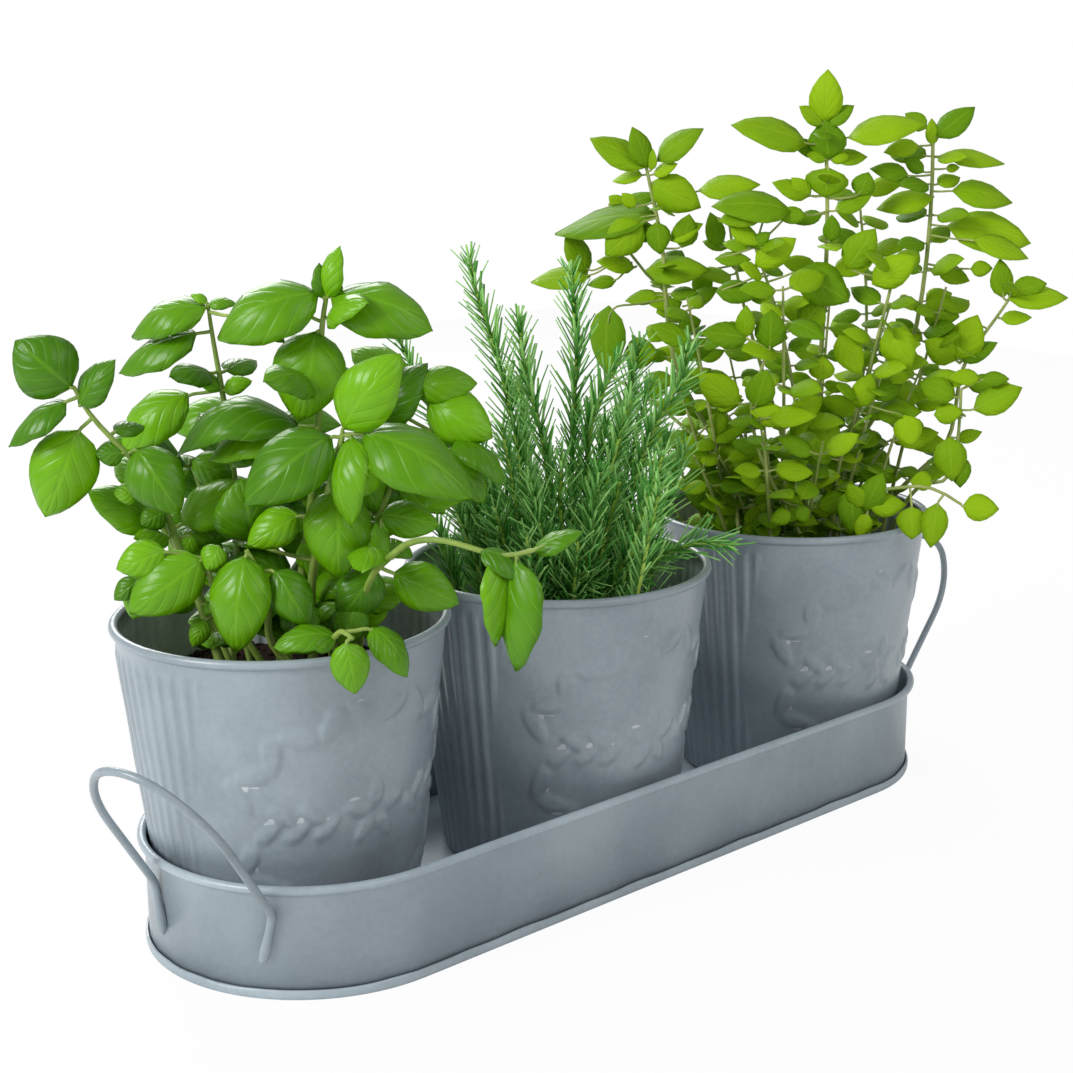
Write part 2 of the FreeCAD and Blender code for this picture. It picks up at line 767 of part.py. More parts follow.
doc.recompute()
for item in doc.Objects:
    if "Invalid" in item.State or "Error" in item.State:
        raise RuntimeError(item.Name + " could not be made")
os.makedirs("parts", exist_ok=True)
for item in parts:
    shape = item.Shape
    if shape.isNull() or not shape.isValid():
        raise RuntimeError(item.Label + " has no valid shape")
    shape.exportStep("parts/%s.step" % item.Label)
    print(item.Label, len(shape.Solids), "solids", round(shape.Volume), "mm3")
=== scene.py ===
import bpy
import bmesh
import math
import random
import numpy as np
from mathutils import Matrix, Vector


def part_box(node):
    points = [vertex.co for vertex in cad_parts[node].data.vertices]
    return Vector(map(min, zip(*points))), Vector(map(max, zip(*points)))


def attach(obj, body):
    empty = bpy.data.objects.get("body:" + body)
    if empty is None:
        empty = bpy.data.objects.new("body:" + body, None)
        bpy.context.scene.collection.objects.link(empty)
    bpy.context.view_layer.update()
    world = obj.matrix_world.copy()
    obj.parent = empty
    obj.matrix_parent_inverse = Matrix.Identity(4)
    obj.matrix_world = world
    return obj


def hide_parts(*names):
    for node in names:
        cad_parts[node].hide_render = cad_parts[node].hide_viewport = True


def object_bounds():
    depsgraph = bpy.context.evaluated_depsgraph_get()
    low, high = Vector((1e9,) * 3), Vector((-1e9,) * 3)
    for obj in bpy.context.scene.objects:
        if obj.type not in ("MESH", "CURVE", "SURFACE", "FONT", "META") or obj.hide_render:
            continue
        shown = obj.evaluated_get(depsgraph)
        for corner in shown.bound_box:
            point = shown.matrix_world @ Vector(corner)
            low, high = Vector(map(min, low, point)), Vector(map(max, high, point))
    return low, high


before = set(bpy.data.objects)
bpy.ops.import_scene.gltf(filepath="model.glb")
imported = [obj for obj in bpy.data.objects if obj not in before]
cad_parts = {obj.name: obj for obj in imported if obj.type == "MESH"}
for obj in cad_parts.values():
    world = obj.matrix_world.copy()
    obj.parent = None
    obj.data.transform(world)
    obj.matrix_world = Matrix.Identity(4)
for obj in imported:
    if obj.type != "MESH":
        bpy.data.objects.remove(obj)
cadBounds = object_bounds()
print("planter: frame loaded")

# The photograph's camera, in metres and pixels of the 1073 wide image.
view = {
    "place": Vector((-0.5139, -0.5454, 0.3114)),
    "right": Vector((0.7383, -0.6745, -0.0047)),
    "up": Vector((0.1620, 0.1704, 0.9720)),
    "back": Vector((-0.6548, -0.7183, 0.2351)),
    "focalPixels": 1868.2,
    "centre": (537.5, 534.2),
    "imageSize": 1073,
    "sensor": 36.0,
}
towardsCamera = Vector((view["back"].x, view["back"].y, 0)).normalized()
sides = ("left", "middle", "right")


def rayThrough(px, py):
    cx, cy = view["centre"]
    ray = view["right"] * (px - cx) + view["up"] * (cy - py) - view["back"] * view["focalPixels"]
    return ray.normalized()


class Socket:
    # a node's output that can be added, multiplied and passed on
    def __init__(self, tree, source=None):
        self.tree = tree
        self.source = source

    def node(self, kind, settings=None, sockets=None, output=0):
        made = self.tree.nodes.new(kind)
        for name, value in (settings or {}).items():
            setattr(made, name, value)
        for name, value in (sockets or {}).items():
            if isinstance(value, Socket):
                self.tree.links.new(value.source, made.inputs[name])
            else:
                made.inputs[name].default_value = value
        return Socket(self.tree, made.outputs[output])

    def maths(self, operation, first, second=0.0):
        return self.node("ShaderNodeMath", {"operation": operation}, {0: first, 1: second})

    def into(self, node, name):
        self.tree.links.new(self.source, node.inputs[name])

    def __add__(self, other):
        return self.maths("ADD", self, other)

    def __mul__(self, other):
        return self.maths("MULTIPLY", self, other)


def ofType(tree, kind):
    return next(node for node in tree.nodes if node.type == kind)


def newMaterial(name, constants):
    material = bpy.data.materials.new(name)
    material.use_nodes = True
    shader = ofType(material.node_tree, "BSDF_PRINCIPLED")
    for socket, value in constants.items():
        shader.inputs[socket].default_value = value
    return material, Socket(material.node_tree), shader


def objectSpace(maker):
    return maker.node("ShaderNodeTexCoord", output=3)


def noiseOn(maker, place, scale, detail=3.0, roughness=0.5):
    sockets = {"Vector": place, "Scale": scale, "Detail": detail, "Roughness": roughness}
    return maker.node("ShaderNodeTexNoise", None, sockets)


def remap(maker, value, low, high, first=0.0, last=1.0):
    sockets = {"Value": value, "From Min": low, "From Max": high, "To Min": first, "To Max": last}
    return maker.node("ShaderNodeMapRange", None, sockets)


def mixColour(maker, share, first, second):
    # a Mix node's sockets 6 and 7 are its colours, and its output 2 is the mixed one
    first, second = (value if isinstance(value, Socket) else (*value, 1.0) for value in (first, second))
    return maker.node("ShaderNodeMix", {"data_type": "RGBA"}, {0: share, 6: first, 7: second}, 2)


def bumpOn(shader, height, strength, distance):
    bump = height.node("ShaderNodeBump", None, {"Height": height, "Strength": strength, "Distance": distance})
    bump.into(shader, "Normal")


paintLook = {"pale": (0.325, 0.385, 0.425), "deep": (0.235, 0.285, 0.32), "roughness": 0.31}
# the tray's paint is the pots' paint made lighter: painted light standing in for how the light falls on the tray, not
# a paint of its own
trayLitLook = {"pale": (0.41, 0.485, 0.53), "deep": (0.31, 0.37, 0.415), "roughness": 0.33}
insideLook = {"pale": (0.62, 0.66, 0.69), "deep": (0.36, 0.41, 0.45), "roughness": 0.42}
paintGrain = {
    "coat": 0.25, "coatRoughness": 0.33, "clouds": 26.0, "flecks": 420.0, "cloudShare": 0.75, "spread": (0.36, 0.64),
    "dull": 0.16, "fine": 240.0, "fineHeight": 0.6, "broad": 34.0, "broadHeight": 1.6, "bump": 0.35, "deep": 0.0006,
}


def paintMaterial(name, look):
    g = paintGrain
    material, maker, shader = newMaterial(name, {"Coat Weight": g["coat"], "Coat Roughness": g["coatRoughness"]})
    place = objectSpace(maker)
    clouds = noiseOn(maker, place, g["clouds"], 4.0)
    flecks = noiseOn(maker, place, g["flecks"], 2.0, 0.6)
    share = remap(maker, clouds * g["cloudShare"] + flecks * (1 - g["cloudShare"]), *g["spread"])
    mixColour(maker, share, look["deep"], look["pale"]).into(shader, "Base Color")
    (clouds * g["dull"] + (look["roughness"] - g["dull"] / 2)).into(shader, "Roughness")
    fine = noiseOn(maker, place, g["fine"], 2.0) * g["fineHeight"]
    broad = noiseOn(maker, place, g["broad"], 2.0) * g["broadHeight"]
    bumpOn(shader, fine + broad, g["bump"], g["deep"])
    return material


soilLook = {
    "dark": (0.012, 0.007, 0.004), "pale": (0.075, 0.042, 0.026), "grain": 420.0, "spread": (0.38, 0.72),
    "roughness": 0.92, "shine": 0.25, "bump": 0.9, "deep": 0.002,
}


def soilMaterial():
    s = soilLook
    constants = {"Roughness": s["roughness"], "Specular IOR Level": s["shine"]}
    material, maker, shader = newMaterial("pottingSoil", constants)
    crumbs = noiseOn(maker, objectSpace(maker), s["grain"], 5.0, 0.7)
    mixColour(maker, remap(maker, crumbs, *s["spread"]), s["dark"], s["pale"]).into(shader, "Base Color")
    bumpOn(shader, crumbs, s["bump"], s["deep"])
    return material


bladeLook = {
    "midrib": (0.012, 0.05), "slant": 0.9, "vein": (0.0, 0.11), "veinStrength": 0.8, "mottle": 90.0, "tintShare": 0.7,
    "spread": (0.2, 0.8), "dull": 0.2, "lineDepth": 0.35, "mottleHeight": 0.25, "bump": 0.4, "deep": 0.0012,
}


def leafMaterial(name, look):
    # u runs across the blade and v from its foot to its tip; tint is one value per leaf
    b = bladeLook
    material, maker, shader = newMaterial(name, {
        "Specular IOR Level": look["shine"], "Coat Weight": look["coat"], "Coat Roughness": 0.12,
    })
    across = maker.node("ShaderNodeSeparateXYZ", None, {0: maker.node("ShaderNodeUVMap", {"uv_map": "blade"})})
    along = Socket(maker.tree, across.source.node.outputs[1])
    side = maker.maths("ABSOLUTE", across + -0.5)
    midrib = remap(maker, side, *b["midrib"], 1.0, 0.0)
    slanted = along * look["veins"] + side * (-b["slant"] * look["veins"])
    wave = maker.maths("PINGPONG", slanted, 0.5)
    lines = maker.maths("MAXIMUM", midrib, remap(maker, wave, *b["vein"], b["veinStrength"], 0.0))
    tint = maker.node("ShaderNodeAttribute", {"attribute_name": "tint"}, output=2)
    mottle = noiseOn(maker, objectSpace(maker), b["mottle"])
    share = remap(maker, tint * b["tintShare"] + mottle * (1 - b["tintShare"]), *b["spread"])
    base = mixColour(maker, share, look["deep"], look["pale"])
    mixColour(maker, lines * look["veinShare"], base, look["vein"]).into(shader, "Base Color")
    (mottle * b["dull"] + look["roughness"]).into(shader, "Roughness")
    height = wave * look["pucker"] + lines * -b["lineDepth"] + mottle * b["mottleHeight"]
    bumpOn(shader, height, b["bump"], b["deep"])
    return material


stemLook = {"roughness": 0.5, "mottle": 70.0, "spread": (0.35, 0.65), "grain": 700.0, "bump": 0.4, "deep": 0.0004}


def stemMaterial(name, deep, pale):
    s = stemLook
    material, maker, shader = newMaterial(name, {"Roughness": s["roughness"]})
    place = objectSpace(maker)
    share = remap(maker, noiseOn(maker, place, s["mottle"]), *s["spread"])
    mixColour(maker, share, deep, pale).into(shader, "Base Color")
    bumpOn(shader, noiseOn(maker, place, s["grain"]), s["bump"], s["deep"])
    return material


paint = paintMaterial("greyPaint", paintLook)
insidePaint = paintMaterial("paleInside", insideLook)
# a lighter copy of the pots' paint for the tray's wall, seam and base: painted light
trayLitPaint = paintMaterial("trayLitPaint", trayLitLook)
soilStuff = soilMaterial()
basilLeaf = leafMaterial("basilLeaf", {
    "deep": (0.058, 0.195, 0.001), "pale": (0.165, 0.43, 0.003), "vein": (0.24, 0.52, 0.03), "veinShare": 0.2,
    "veins": 4.5, "pucker": 0.6, "roughness": 0.22, "shine": 0.26, "coat": 0.08,
})
oreganoLeaf = leafMaterial("oreganoLeaf", {
    "deep": (0.115, 0.265, 0.002), "pale": (0.29, 0.50, 0.005), "vein": (0.38, 0.56, 0.03), "veinShare": 0.2,
    "veins": 4.5, "pucker": 0.3, "roughness": 0.45, "shine": 0.12, "coat": 0.0,
})
needleStuff = leafMaterial("rosemaryNeedle", {
    "deep": (0.06, 0.28, 0.035), "pale": (0.36, 0.70, 0.20), "vein": (0.34, 0.58, 0.2), "veinShare": 0.3,
    "veins": 1.0, "pucker": 0.0, "roughness": 0.4, "shine": 0.15, "coat": 0.0,
})
basilStem = stemMaterial("basilStem", (0.16, 0.27, 0.03), (0.33, 0.46, 0.09))
oreganoStem = stemMaterial("oreganoStem", (0.20, 0.28, 0.05), (0.42, 0.48, 0.14))
rosemaryStem = stemMaterial("rosemaryStem", (0.24, 0.42, 0.03), (0.52, 0.70, 0.12))
print("planter: finishes ready")


def addObject(name, data):
    made = bpy.data.objects.new(name, data)
    bpy.context.scene.collection.objects.link(made)
    return made


def finishPiece(mesh, name, body, nodes, materials):
    piece = addObject(name, mesh)
    for material in materials:
        mesh.materials.append(material)
    mesh.polygons.foreach_set("use_smooth", [True] * len(mesh.polygons))
    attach(piece, body)
    if nodes:
        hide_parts(*nodes)


def repaint(node, material):
    node.data.materials.clear()
    node.data.materials.append(material)


def meshOf(bm, name):
    mesh = bpy.data.meshes.new(name)
    bm.to_mesh(mesh)
    bm.free()
    return mesh


def ringLoop(bm, points):
    # a closed loop of edges through the points
    spots = [bm.verts.new(point) for point in points]
    return spots + [bm.edges.new((spots[i], spots[(i + 1) % len(spots)])) for i in range(len(spots))]


def weld(bm, near):
    bmesh.ops.remove_doubles(bm, verts=bm.verts[:], dist=near)
    bmesh.ops.recalc_face_normals(bm, faces=bm.faces[:])


rimRoll = 250  # the degrees that a rolled rim turns through


def beadArc(centre, radius, start, steps):
    # the rolled rim, as points of reach and level
    turns = [math.radians(start + rimRoll * i / steps) for i in range(steps + 1)]
    return [(centre[0] + math.cos(turn) * radius, centre[1] + math.sin(turn) * radius) for turn in turns]


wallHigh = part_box("tray_wall")[1]
trayShape = {
    "bead": 0.0033, "beadStart": -70, "beadSteps": 18, "endSteps": 48, "sheet": 0.0006,
    "hemDrop": 0.0018, "hemStand": 0.0005, "hemLip": 0.0003,
    "seamHigh": 0.0034, "seamStand": 0.0013, "seamGap": 0.0002, "seamFoot": 0.0001, "seamSteps": 12, "seamFlat": 1.25,
    "seamCuts": 60, "crimpFrom": 0.75, "crimps": ((0.00022, 210, 0), (0.0002, 97, 330)),
    "run": wallHigh.x - wallHigh.y,
}
trayShape["inner"] = wallHigh.y - trayShape["bead"]


def sweepRound(bm, section, run, steps):
    # spin the section round one end, draw it along the tray, spin it round the other end and draw it back
    geometry = ringLoop(bm, [Vector((run, -reach, level)) for reach, level in section])
    for centre, shift in ((run, -2 * run), (-run, 2 * run)):
        spun = bmesh.ops.spin(
            bm, geom=geometry, cent=(centre, 0, 0), axis=(0, 0, 1), angle=math.pi, steps=steps, use_duplicate=False
        )
        last = [item for item in spun["geom_last"] if isinstance(item, bmesh.types.BMEdge)]
        pulled = bmesh.ops.extrude_edge_only(bm, edges=last)["geom"]
        verts = [item for item in pulled if isinstance(item, bmesh.types.BMVert)]
        bmesh.ops.translate(bm, vec=(shift, 0, 0), verts=verts)
        geometry = verts + [item for item in pulled if isinstance(item, bmesh.types.BMEdge)]
    weld(bm, 0.00002)


def makeTrayWall():
    t = trayShape
    outer, half = t["inner"] + t["sheet"], t["bead"] / 2
    hemFoot = wallHigh.z - t["bead"] - t["hemDrop"]
    section = [
        (t["inner"], t["sheet"]), (outer, t["sheet"]), (outer, hemFoot),
        (outer + t["hemStand"], hemFoot + t["hemLip"]), (outer + t["hemStand"], hemFoot + t["hemDrop"]),
    ]
    section += beadArc((t["inner"] + half, wallHigh.z - half), half, t["beadStart"], t["beadSteps"])
    bm = bmesh.new()
    sweepRound(bm, section, t["run"], t["endSteps"])
    finishPiece(meshOf(bm, "trayWallSheet"), "trayWallSheet", "tray", ["tray_wall"], [trayLitPaint])


def makeSeam():
    # the base's lip, rolled tight round the wall's foot, not quite straight
    t = trayShape
    inside, high, stand = t["inner"] + t["sheet"] + t["seamGap"], t["seamHigh"], t["seamStand"]
    section = []
    for i in range(t["seamSteps"]):
        turn = 2 * math.pi * i / t["seamSteps"]
        rise = max(-1.0, min(1.0, math.sin(turn) * t["seamFlat"]))
        section.append((inside + stand / 2 + math.cos(turn) * stand / 2, t["seamFoot"] + high / 2 + rise * high / 2))
    bm = bmesh.new()
    sweepRound(bm, section, t["run"], t["endSteps"])
    cuts = [edge for edge in bm.edges if abs(edge.verts[0].co.x - edge.verts[1].co.x) > t["run"]]
    bmesh.ops.subdivide_edges(bm, edges=cuts, cuts=t["seamCuts"])
    for vert in bm.verts:
        if vert.co.z > high * t["crimpFrom"]:
            x, y = vert.co.x, vert.co.y
            vert.co.z += sum(deep * math.sin(x * alongX + y * alongY) for deep, alongX, alongY in t["crimps"])
    finishPiece(meshOf(bm, "trayFootSeam"), "trayFootSeam", "tray", [], [trayLitPaint])


makeTrayWall()
makeSeam()
repaint(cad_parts["tray_base"], trayLitPaint)
print("planter: tray ready")

handleShape = {
    "wire": 0.0015, "lean": 34.2, "width": 0.0536, "reach": 0.0735, "elbowHigh": 0.032, "tail": 0.017, "toe": 0.0038,
    "crown": 0.021, "fan": 50.0, "ends": ((-1, 196.5), (1, -7.0)), "elbowBend": 0.0035, "gap": 0.0001,
    "tailShares": (0.2, 0.4, 0.6, 0.75), "bendFrom": 0.82,
    "solder": ((-0.12, 0.3), (0.0, 1.05), (0.25, 1.3), (0.55, 1.18), (0.9, 0.9)),
}


def handleSpots():
    # tail, elbow, leg, crown and down again, for one end of the tray
    h = handleShape
    ring = trayShape["inner"] + trayShape["sheet"] + h["wire"] + h["gap"]
    half, bend = h["width"] / 2, h["elbowBend"]
    lean, fan = math.radians(h["lean"]), math.radians(h["fan"])
    shoulder = (half - h["crown"] * math.sin(fan)) / (1 - math.sin(fan))
    drop = shoulder - h["crown"]
    foot = math.sqrt(ring * ring - half * half)

    def spot(across, rise):
        return Vector((foot + rise * math.sin(lean), across, h["elbowHigh"] + rise * math.cos(lean)))

    tailAcross = half - h["toe"]
    tail = Vector((math.sqrt(ring * ring - tailAcross ** 2), tailAcross, h["elbowHigh"] - h["tail"]))
    elbow = spot(half, 0)
    side = [tail] + [tail.lerp(elbow, share) for share in h["tailShares"]]
    under, over = tail.lerp(elbow, h["bendFrom"]), spot(half, bend)
    for share in (0.0, 0.25, 0.5, 0.75, 1.0):
        side.append(under.lerp(elbow, share).lerp(elbow.lerp(over, share), share))
    top = h["reach"] - h["crown"] - drop * math.cos(fan)
    side += [spot(half, bend + (top - bend) * i / 6) for i in range(1, 6)]
    for i in range(10):
        turn = math.pi / 2 + (fan - math.pi / 2) * i / 9
        side.append(spot(-drop * math.sin(fan) + shoulder * math.sin(turn), top + shoulder * math.cos(turn)))
    crown = []
    for i in range(1, 16):
        turn = fan - 2 * fan * i / 16
        crown.append(spot(h["crown"] * math.sin(turn), h["reach"] - h["crown"] + h["crown"] * math.cos(turn)))
    return side + crown + [Vector((point.x, -point.y, point.z)) for point in reversed(side)]


def tubes(runs, name, sides):
    # smooth round rods through lists of (point, radius), as one mesh
    data = bpy.data.curves.new(name, "CURVE")
    data.dimensions = "3D"
    data.bevel_depth = 1.0
    data.bevel_resolution = sides
    data.resolution_u = 3
    data.use_fill_caps = True
    for run in runs:
        line = data.splines.new("NURBS")
        line.points.add(len(run) - 1)
        for point, (spot, radius) in zip(line.points, run):
            point.co = (*spot, 1.0)
            point.radius = radius
        line.order_u = min(3, len(run))
        line.use_endpoint_u = True
    holder = addObject(name, data)
    bpy.context.view_layer.update()
    mesh = bpy.data.meshes.new_from_object(holder.evaluated_get(bpy.context.evaluated_depsgraph_get()))
    bpy.data.objects.remove(holder)
    return mesh


def makeHandles():
    h = handleShape
    runs = []
    for end, turn in h["ends"]:
        place = Matrix.Translation((end * trayShape["run"], 0, 0)) @ Matrix.Rotation(math.radians(turn), 4, "Z")
        spots = [place @ spot for spot in handleSpots()]
        runs.append([(spot, h["wire"]) for spot in spots])
        # the solder at each tail, flooded with paint
        for first, second in ((spots[0], spots[4]), (spots[-1], spots[-5])):
            runs.append([(first.lerp(second, share), h["wire"] * wide) for share, wide in h["solder"]])
    finishPiece(tubes(runs, "wireHandles", 5), "wireHandles", "tray", ["wire_handles"], [paint])


makeHandles()
print("planter: handles ready")

shellLow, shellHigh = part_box("left_pot_shell")
potShape = {
    "foot": 0.0474, "bead": 0.0034, "beadStart": -58, "sheet": 0.0005, "footHem": 0.004, "hemCorner": 0.0008,
    "rings": 84, "around": 540, "innerRings": 20, "wallFoot": 0.0006, "wallTop": 0.86,
    "pitch": 6.0, "firstRib": -15.0, "ribDepth": 0.0008, "ribTop": 0.0035, "ribFade": 0.005, "ribWave": (0.12, 0.9),
    "panelHalf": ((0.0, 64.0), (0.055, 72.0), (0.115, 60.0)), "reliefDepth": 0.0009, "reliefReach": 0.054,
    "beadSteps": 14, "ribFoot": (0.0008, 0.0035), "panelEdge": (1, 4), "reliefFade": 6, "wallBand": (0.0002, 0.0006),
    "dentDepth": 0.00018, "dentWaves": ((0.11, 60), (0.05, 95)), "dentFoot": (0.002, 0.02), "dentTop": 0.02,
    "insideFrom": 0.002,
}
garland = {
    "arcs": ((16, 148, 12), (-160, 140, 11)), "wide": 0.051, "high": 0.040, "middle": 0.056, "leaf": (0.0082, 0.0036),
    "blossom": 5, "petalReach": 0.0076, "petal": (0.0062, 0.0033), "heart": 0.057,
    "rowFrom": 0.019, "rowGap": 0.0052, "rowLean": 0.7, "rowLeaf": (0.0062, 0.0028), "edge": (0.55, 1.15),
    "lean": 0.75, "blossomTurn": 0.3, "rowCount": 5, "rowRise": 0.003, "taper": (0.5, 0.3, 2.0),
}


def turnRound(bm, section, steps, near):
    bmesh.ops.spin(
        bm, geom=section, cent=(0, 0, 0), axis=(0, 0, 1), angle=2 * math.pi, steps=steps, use_merge=True
    )
    weld(bm, near)


def smooth(low, high, value):
    share = np.clip((value - low) / (high - low), 0, 1)
    return share * share * (3 - 2 * share)


def reliefHeight(across, level):
    # a generic garland pressed out of the plain side: two arcs of leaves about a small blossom
    g = garland
    height = np.zeros_like(across)
    shapes = []
    for start, sweep, count in g["arcs"]:
        for i in range(count):
            turn = math.radians(start + sweep * i / (count - 1))
            tilt = turn + math.pi / 2 + (g["lean"] if i % 2 else -g["lean"])
            shapes.append((g["wide"] * math.cos(turn), g["middle"] + g["high"] * math.sin(turn), tilt, *g["leaf"]))
    for i in range(g["blossom"]):
        turn = 2 * math.pi * i / g["blossom"] + g["blossomTurn"]
        reach = g["petalReach"]
        shapes.append((reach * math.cos(turn), g["heart"] + reach * math.sin(turn), turn, *g["petal"]))
    for side in (-1, 1):
        for i in range(g["rowCount"]):
            up = 1 if i % 2 else -1
            x = side * (g["rowFrom"] + g["rowGap"] * i)
            shapes.append((x, g["heart"] + g["rowRise"] * up, side * g["rowLean"] * up, *g["rowLeaf"]))
    grow, least, most = g["taper"]
    for x, z, tilt, long, wide in shapes:
        dx, dz = across - x, level - z
        u = (dx * math.cos(tilt) + dz * math.sin(tilt)) / long
        v = (-dx * math.sin(tilt) + dz * math.cos(tilt)) / wide
        inside = 1 - smooth(*g["edge"], np.sqrt(u * u + v * v * np.clip(1 + grow * u, least, most)))
        height = np.maximum(height, inside)
    return height


def makeShellMesh():
    # one pot about the Z axis with its foot at zero
    p = potShape
    high = shellHigh.z - shellLow.z
    rim, half = (shellHigh.x - shellLow.x) / 2, p["bead"] / 2
    ring, level = rim - half, high - half
    slope = (ring - p["foot"]) / level
    hem, low = p["foot"] - p["footHem"], p["wallFoot"]
    section = [(hem, p["sheet"]), (hem, 0.0), (p["foot"] - p["hemCorner"], 0.0)]
    topWall = high - p["bead"] * p["wallTop"]
    for i in range(p["rings"]):
        z = low + (topWall - low) * i / (p["rings"] - 1)
        section.append((p["foot"] + slope * z, z))
    section += beadArc((ring, level), half, p["beadStart"], p["beadSteps"])
    last = p["innerRings"] - 1
    for i in range(p["innerRings"]):
        z = (level - low) * (1 - i / last) + p["sheet"] * i / last
        section.append((p["foot"] + slope * z - p["sheet"], z))
    bm = bmesh.new()
    loop = ringLoop(bm, [Vector((reach, 0, z)) for reach, z in section])
    turnRound(bm, loop, p["around"], 0.00001)
    mesh = meshOf(bm, "potShell")
    spots = np.zeros(len(mesh.vertices) * 3)
    mesh.vertices.foreach_get("co", spots)
    spots = spots.reshape(-1, 3)
    z = spots[:, 2]
    reach = np.hypot(spots[:, 0], spots[:, 1])
    turn = np.degrees(np.arctan2(spots[:, 1], spots[:, 0]))
    fromFront = (turn + 90 + 180) % 360 - 180
    levels, halves = zip(*p["panelHalf"])
    panel = np.interp(z, levels, halves)
    wave = 0.5 + 0.5 * np.cos(2 * math.pi * (turn - p["firstRib"]) / p["pitch"])
    before, after = p["panelEdge"]
    rib = smooth(*p["ribWave"], wave) * smooth(panel - before, panel + after, np.abs(fromFront))
    ribTop = topWall - p["ribTop"]
    rib *= smooth(*p["ribFoot"], z) * (1 - smooth(ribTop - p["ribFade"], ribTop, z))
    above, within = p["wallBand"]
    onWall = (z < topWall + above) & (reach > p["foot"] - within)
    relief = reliefHeight(np.radians(fromFront) * p["reliefReach"], z)
    relief *= 1 - smooth(panel - p["reliefFade"], panel, np.abs(fromFront))
    dents = p["dentDepth"]
    for sideways, upward in p["dentWaves"]:
        dents = dents * np.sin(turn * sideways + z * upward)
    dents *= smooth(*p["dentFoot"], z)
    dents *= 1 - smooth(topWall - p["dentTop"], topWall, z)
    raised = rib * p["ribDepth"] + relief * p["reliefDepth"] + dents
    spots[:, :2] *= (1 + np.where(onWall, raised, 0.0) / np.maximum(reach, 0.001))[:, None]
    mesh.vertices.foreach_set("co", spots.ravel())
    for face in mesh.polygons:
        inward = face.normal.x * face.center.x + face.normal.y * face.center.y < 0
        face.material_index = 1 if inward and p["insideFrom"] < face.center.z < topWall else 0
    return mesh


def potCentre(side):
    low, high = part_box(side + "_pot_shell")
    return Vector(((low.x + high.x) / 2, (low.y + high.y) / 2, low.z))


shellMesh = makeShellMesh()
for side in sides:
    mesh = shellMesh.copy()
    mesh.transform(Matrix.Translation(potCentre(side)))
    finishPiece(mesh, side + "PotShell", side + "_pot", [side + "_pot_shell"], [paint, insidePaint])
    repaint(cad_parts[side + "_pot_base"], paint)
bpy.data.meshes.remove(shellMesh)
print("planter: pots ready")

soilShape = {
    "crumbs": 230, "rough": 0.0016, "rings": 26, "around": 110, "footGap": 0.002, "edgeDrop": 0.001, "waves": 14,
    "seeds": (3, 5, 8), "waveRates": (120, 900), "waveFall": 60, "waveShare": 0.5, "grit": (-0.5, 0.3),
    "crumbReach": 0.97, "crumbSize": (0.0008, 0.0024), "crumbLift": 0.4, "crumbFlat": ((0.6, 1.0), (0.5, 0.9)),
}


def makeSoil(side, seed):
    s = soilShape
    chance = random.Random(seed)
    low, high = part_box(side + "_soil")
    radius = (high.x - low.x) / 2
    bm = bmesh.new()
    steps = s["rings"]
    section = [(0.0, low.z), (potShape["foot"] - s["footGap"], low.z), (radius, high.z - s["edgeDrop"])]
    section += [(radius * (1 - i / steps), high.z) for i in range(steps + 1)]
    line = [bm.verts.new((reach, 0, z)) for reach, z in section]
    line += [bm.edges.new(pair) for pair in zip(line, line[1:])]
    turnRound(bm, line, s["around"], 0.00002)
    waves = [
        (chance.uniform(*s["waveRates"]), chance.uniform(0, 6.3), chance.uniform(0, 6.3)) for _ in range(s["waves"])
    ]
    for vert in bm.verts:
        if vert.co.z > high.z - s["edgeDrop"] / 2:
            lift = 0.0
            for rate, heading, start in waves:
                along = vert.co.x * math.cos(heading) + vert.co.y * math.sin(heading)
                lift += math.sin(along * rate + start) * s["waveFall"] / (s["waveFall"] + rate)
            vert.co.z += s["rough"] * (s["waveShare"] * lift + chance.uniform(*s["grit"]))
    for _ in range(s["crumbs"]):
        turn, reach = chance.uniform(0, 2 * math.pi), radius * s["crumbReach"] * math.sqrt(chance.random())
        size = chance.uniform(*s["crumbSize"])
        place = Matrix.Translation((reach * math.cos(turn), reach * math.sin(turn), high.z + size * s["crumbLift"]))
        place @= Matrix.Rotation(chance.uniform(0, 3), 4, (chance.random(), chance.random(), 1))
        place @= Matrix.Diagonal((1.0, *(chance.uniform(*flat) for flat in s["crumbFlat"]), 1.0))
        bmesh.ops.create_icosphere(bm, subdivisions=1, radius=size, matrix=place)
    centre = potCentre(side)
    bmesh.ops.translate(bm, vec=(centre.x, centre.y, 0), verts=bm.verts[:])
    name = side + "SoilTop"
    finishPiece(meshOf(bm, name), name, side + "_pot", [side + "_soil"], [soilStuff])


for side, seed in zip(sides, soilShape["seeds"]):
    makeSoil(side, seed)
print("planter: soil ready")

# Each herb keeps to its own stretch of the tray, so that a pot lifts out past its neighbours, and to a set distance
# past the front and back of the solids.
room = {"fenceGap": 0.0009, "pastSolids": 0.012}
fenceLeft = (potCentre("left").x + potCentre("middle").x) / 2
fenceRight = (potCentre("middle").x + potCentre("right").x) / 2
fences = {
    "left": (-1.0, fenceLeft - room["fenceGap"]),
    "middle": (fenceLeft + room["fenceGap"], fenceRight - room["fenceGap"]),
    "right": (fenceRight + room["fenceGap"], 1.0),
}
frontEdge, backEdge = cadBounds[0].y - room["pastSolids"], cadBounds[1].y + room["pastSolids"]
# How leaves meet the stems and the pot's wall, in metres; a stem within snapWithin draws a leaf to its own depth.
herbRules = {
    "rooted": 0.003, "fenceRoom": 0.001, "overRim": 0.0015, "underRim": 0.006, "rimBand": 0.008, "rimOut": 0.002,
    "outsideWall": 0.002, "insideWall": 0.0045, "snapWithin": 0.02, "pixelsPerMetre": 2700, "slideLimit": 0.03,
    "clearAbove": 0.006, "clearInside": 0.01, "clearSoil": 0.004, "rootRise": 0.006, "joined": 0.0006,
}
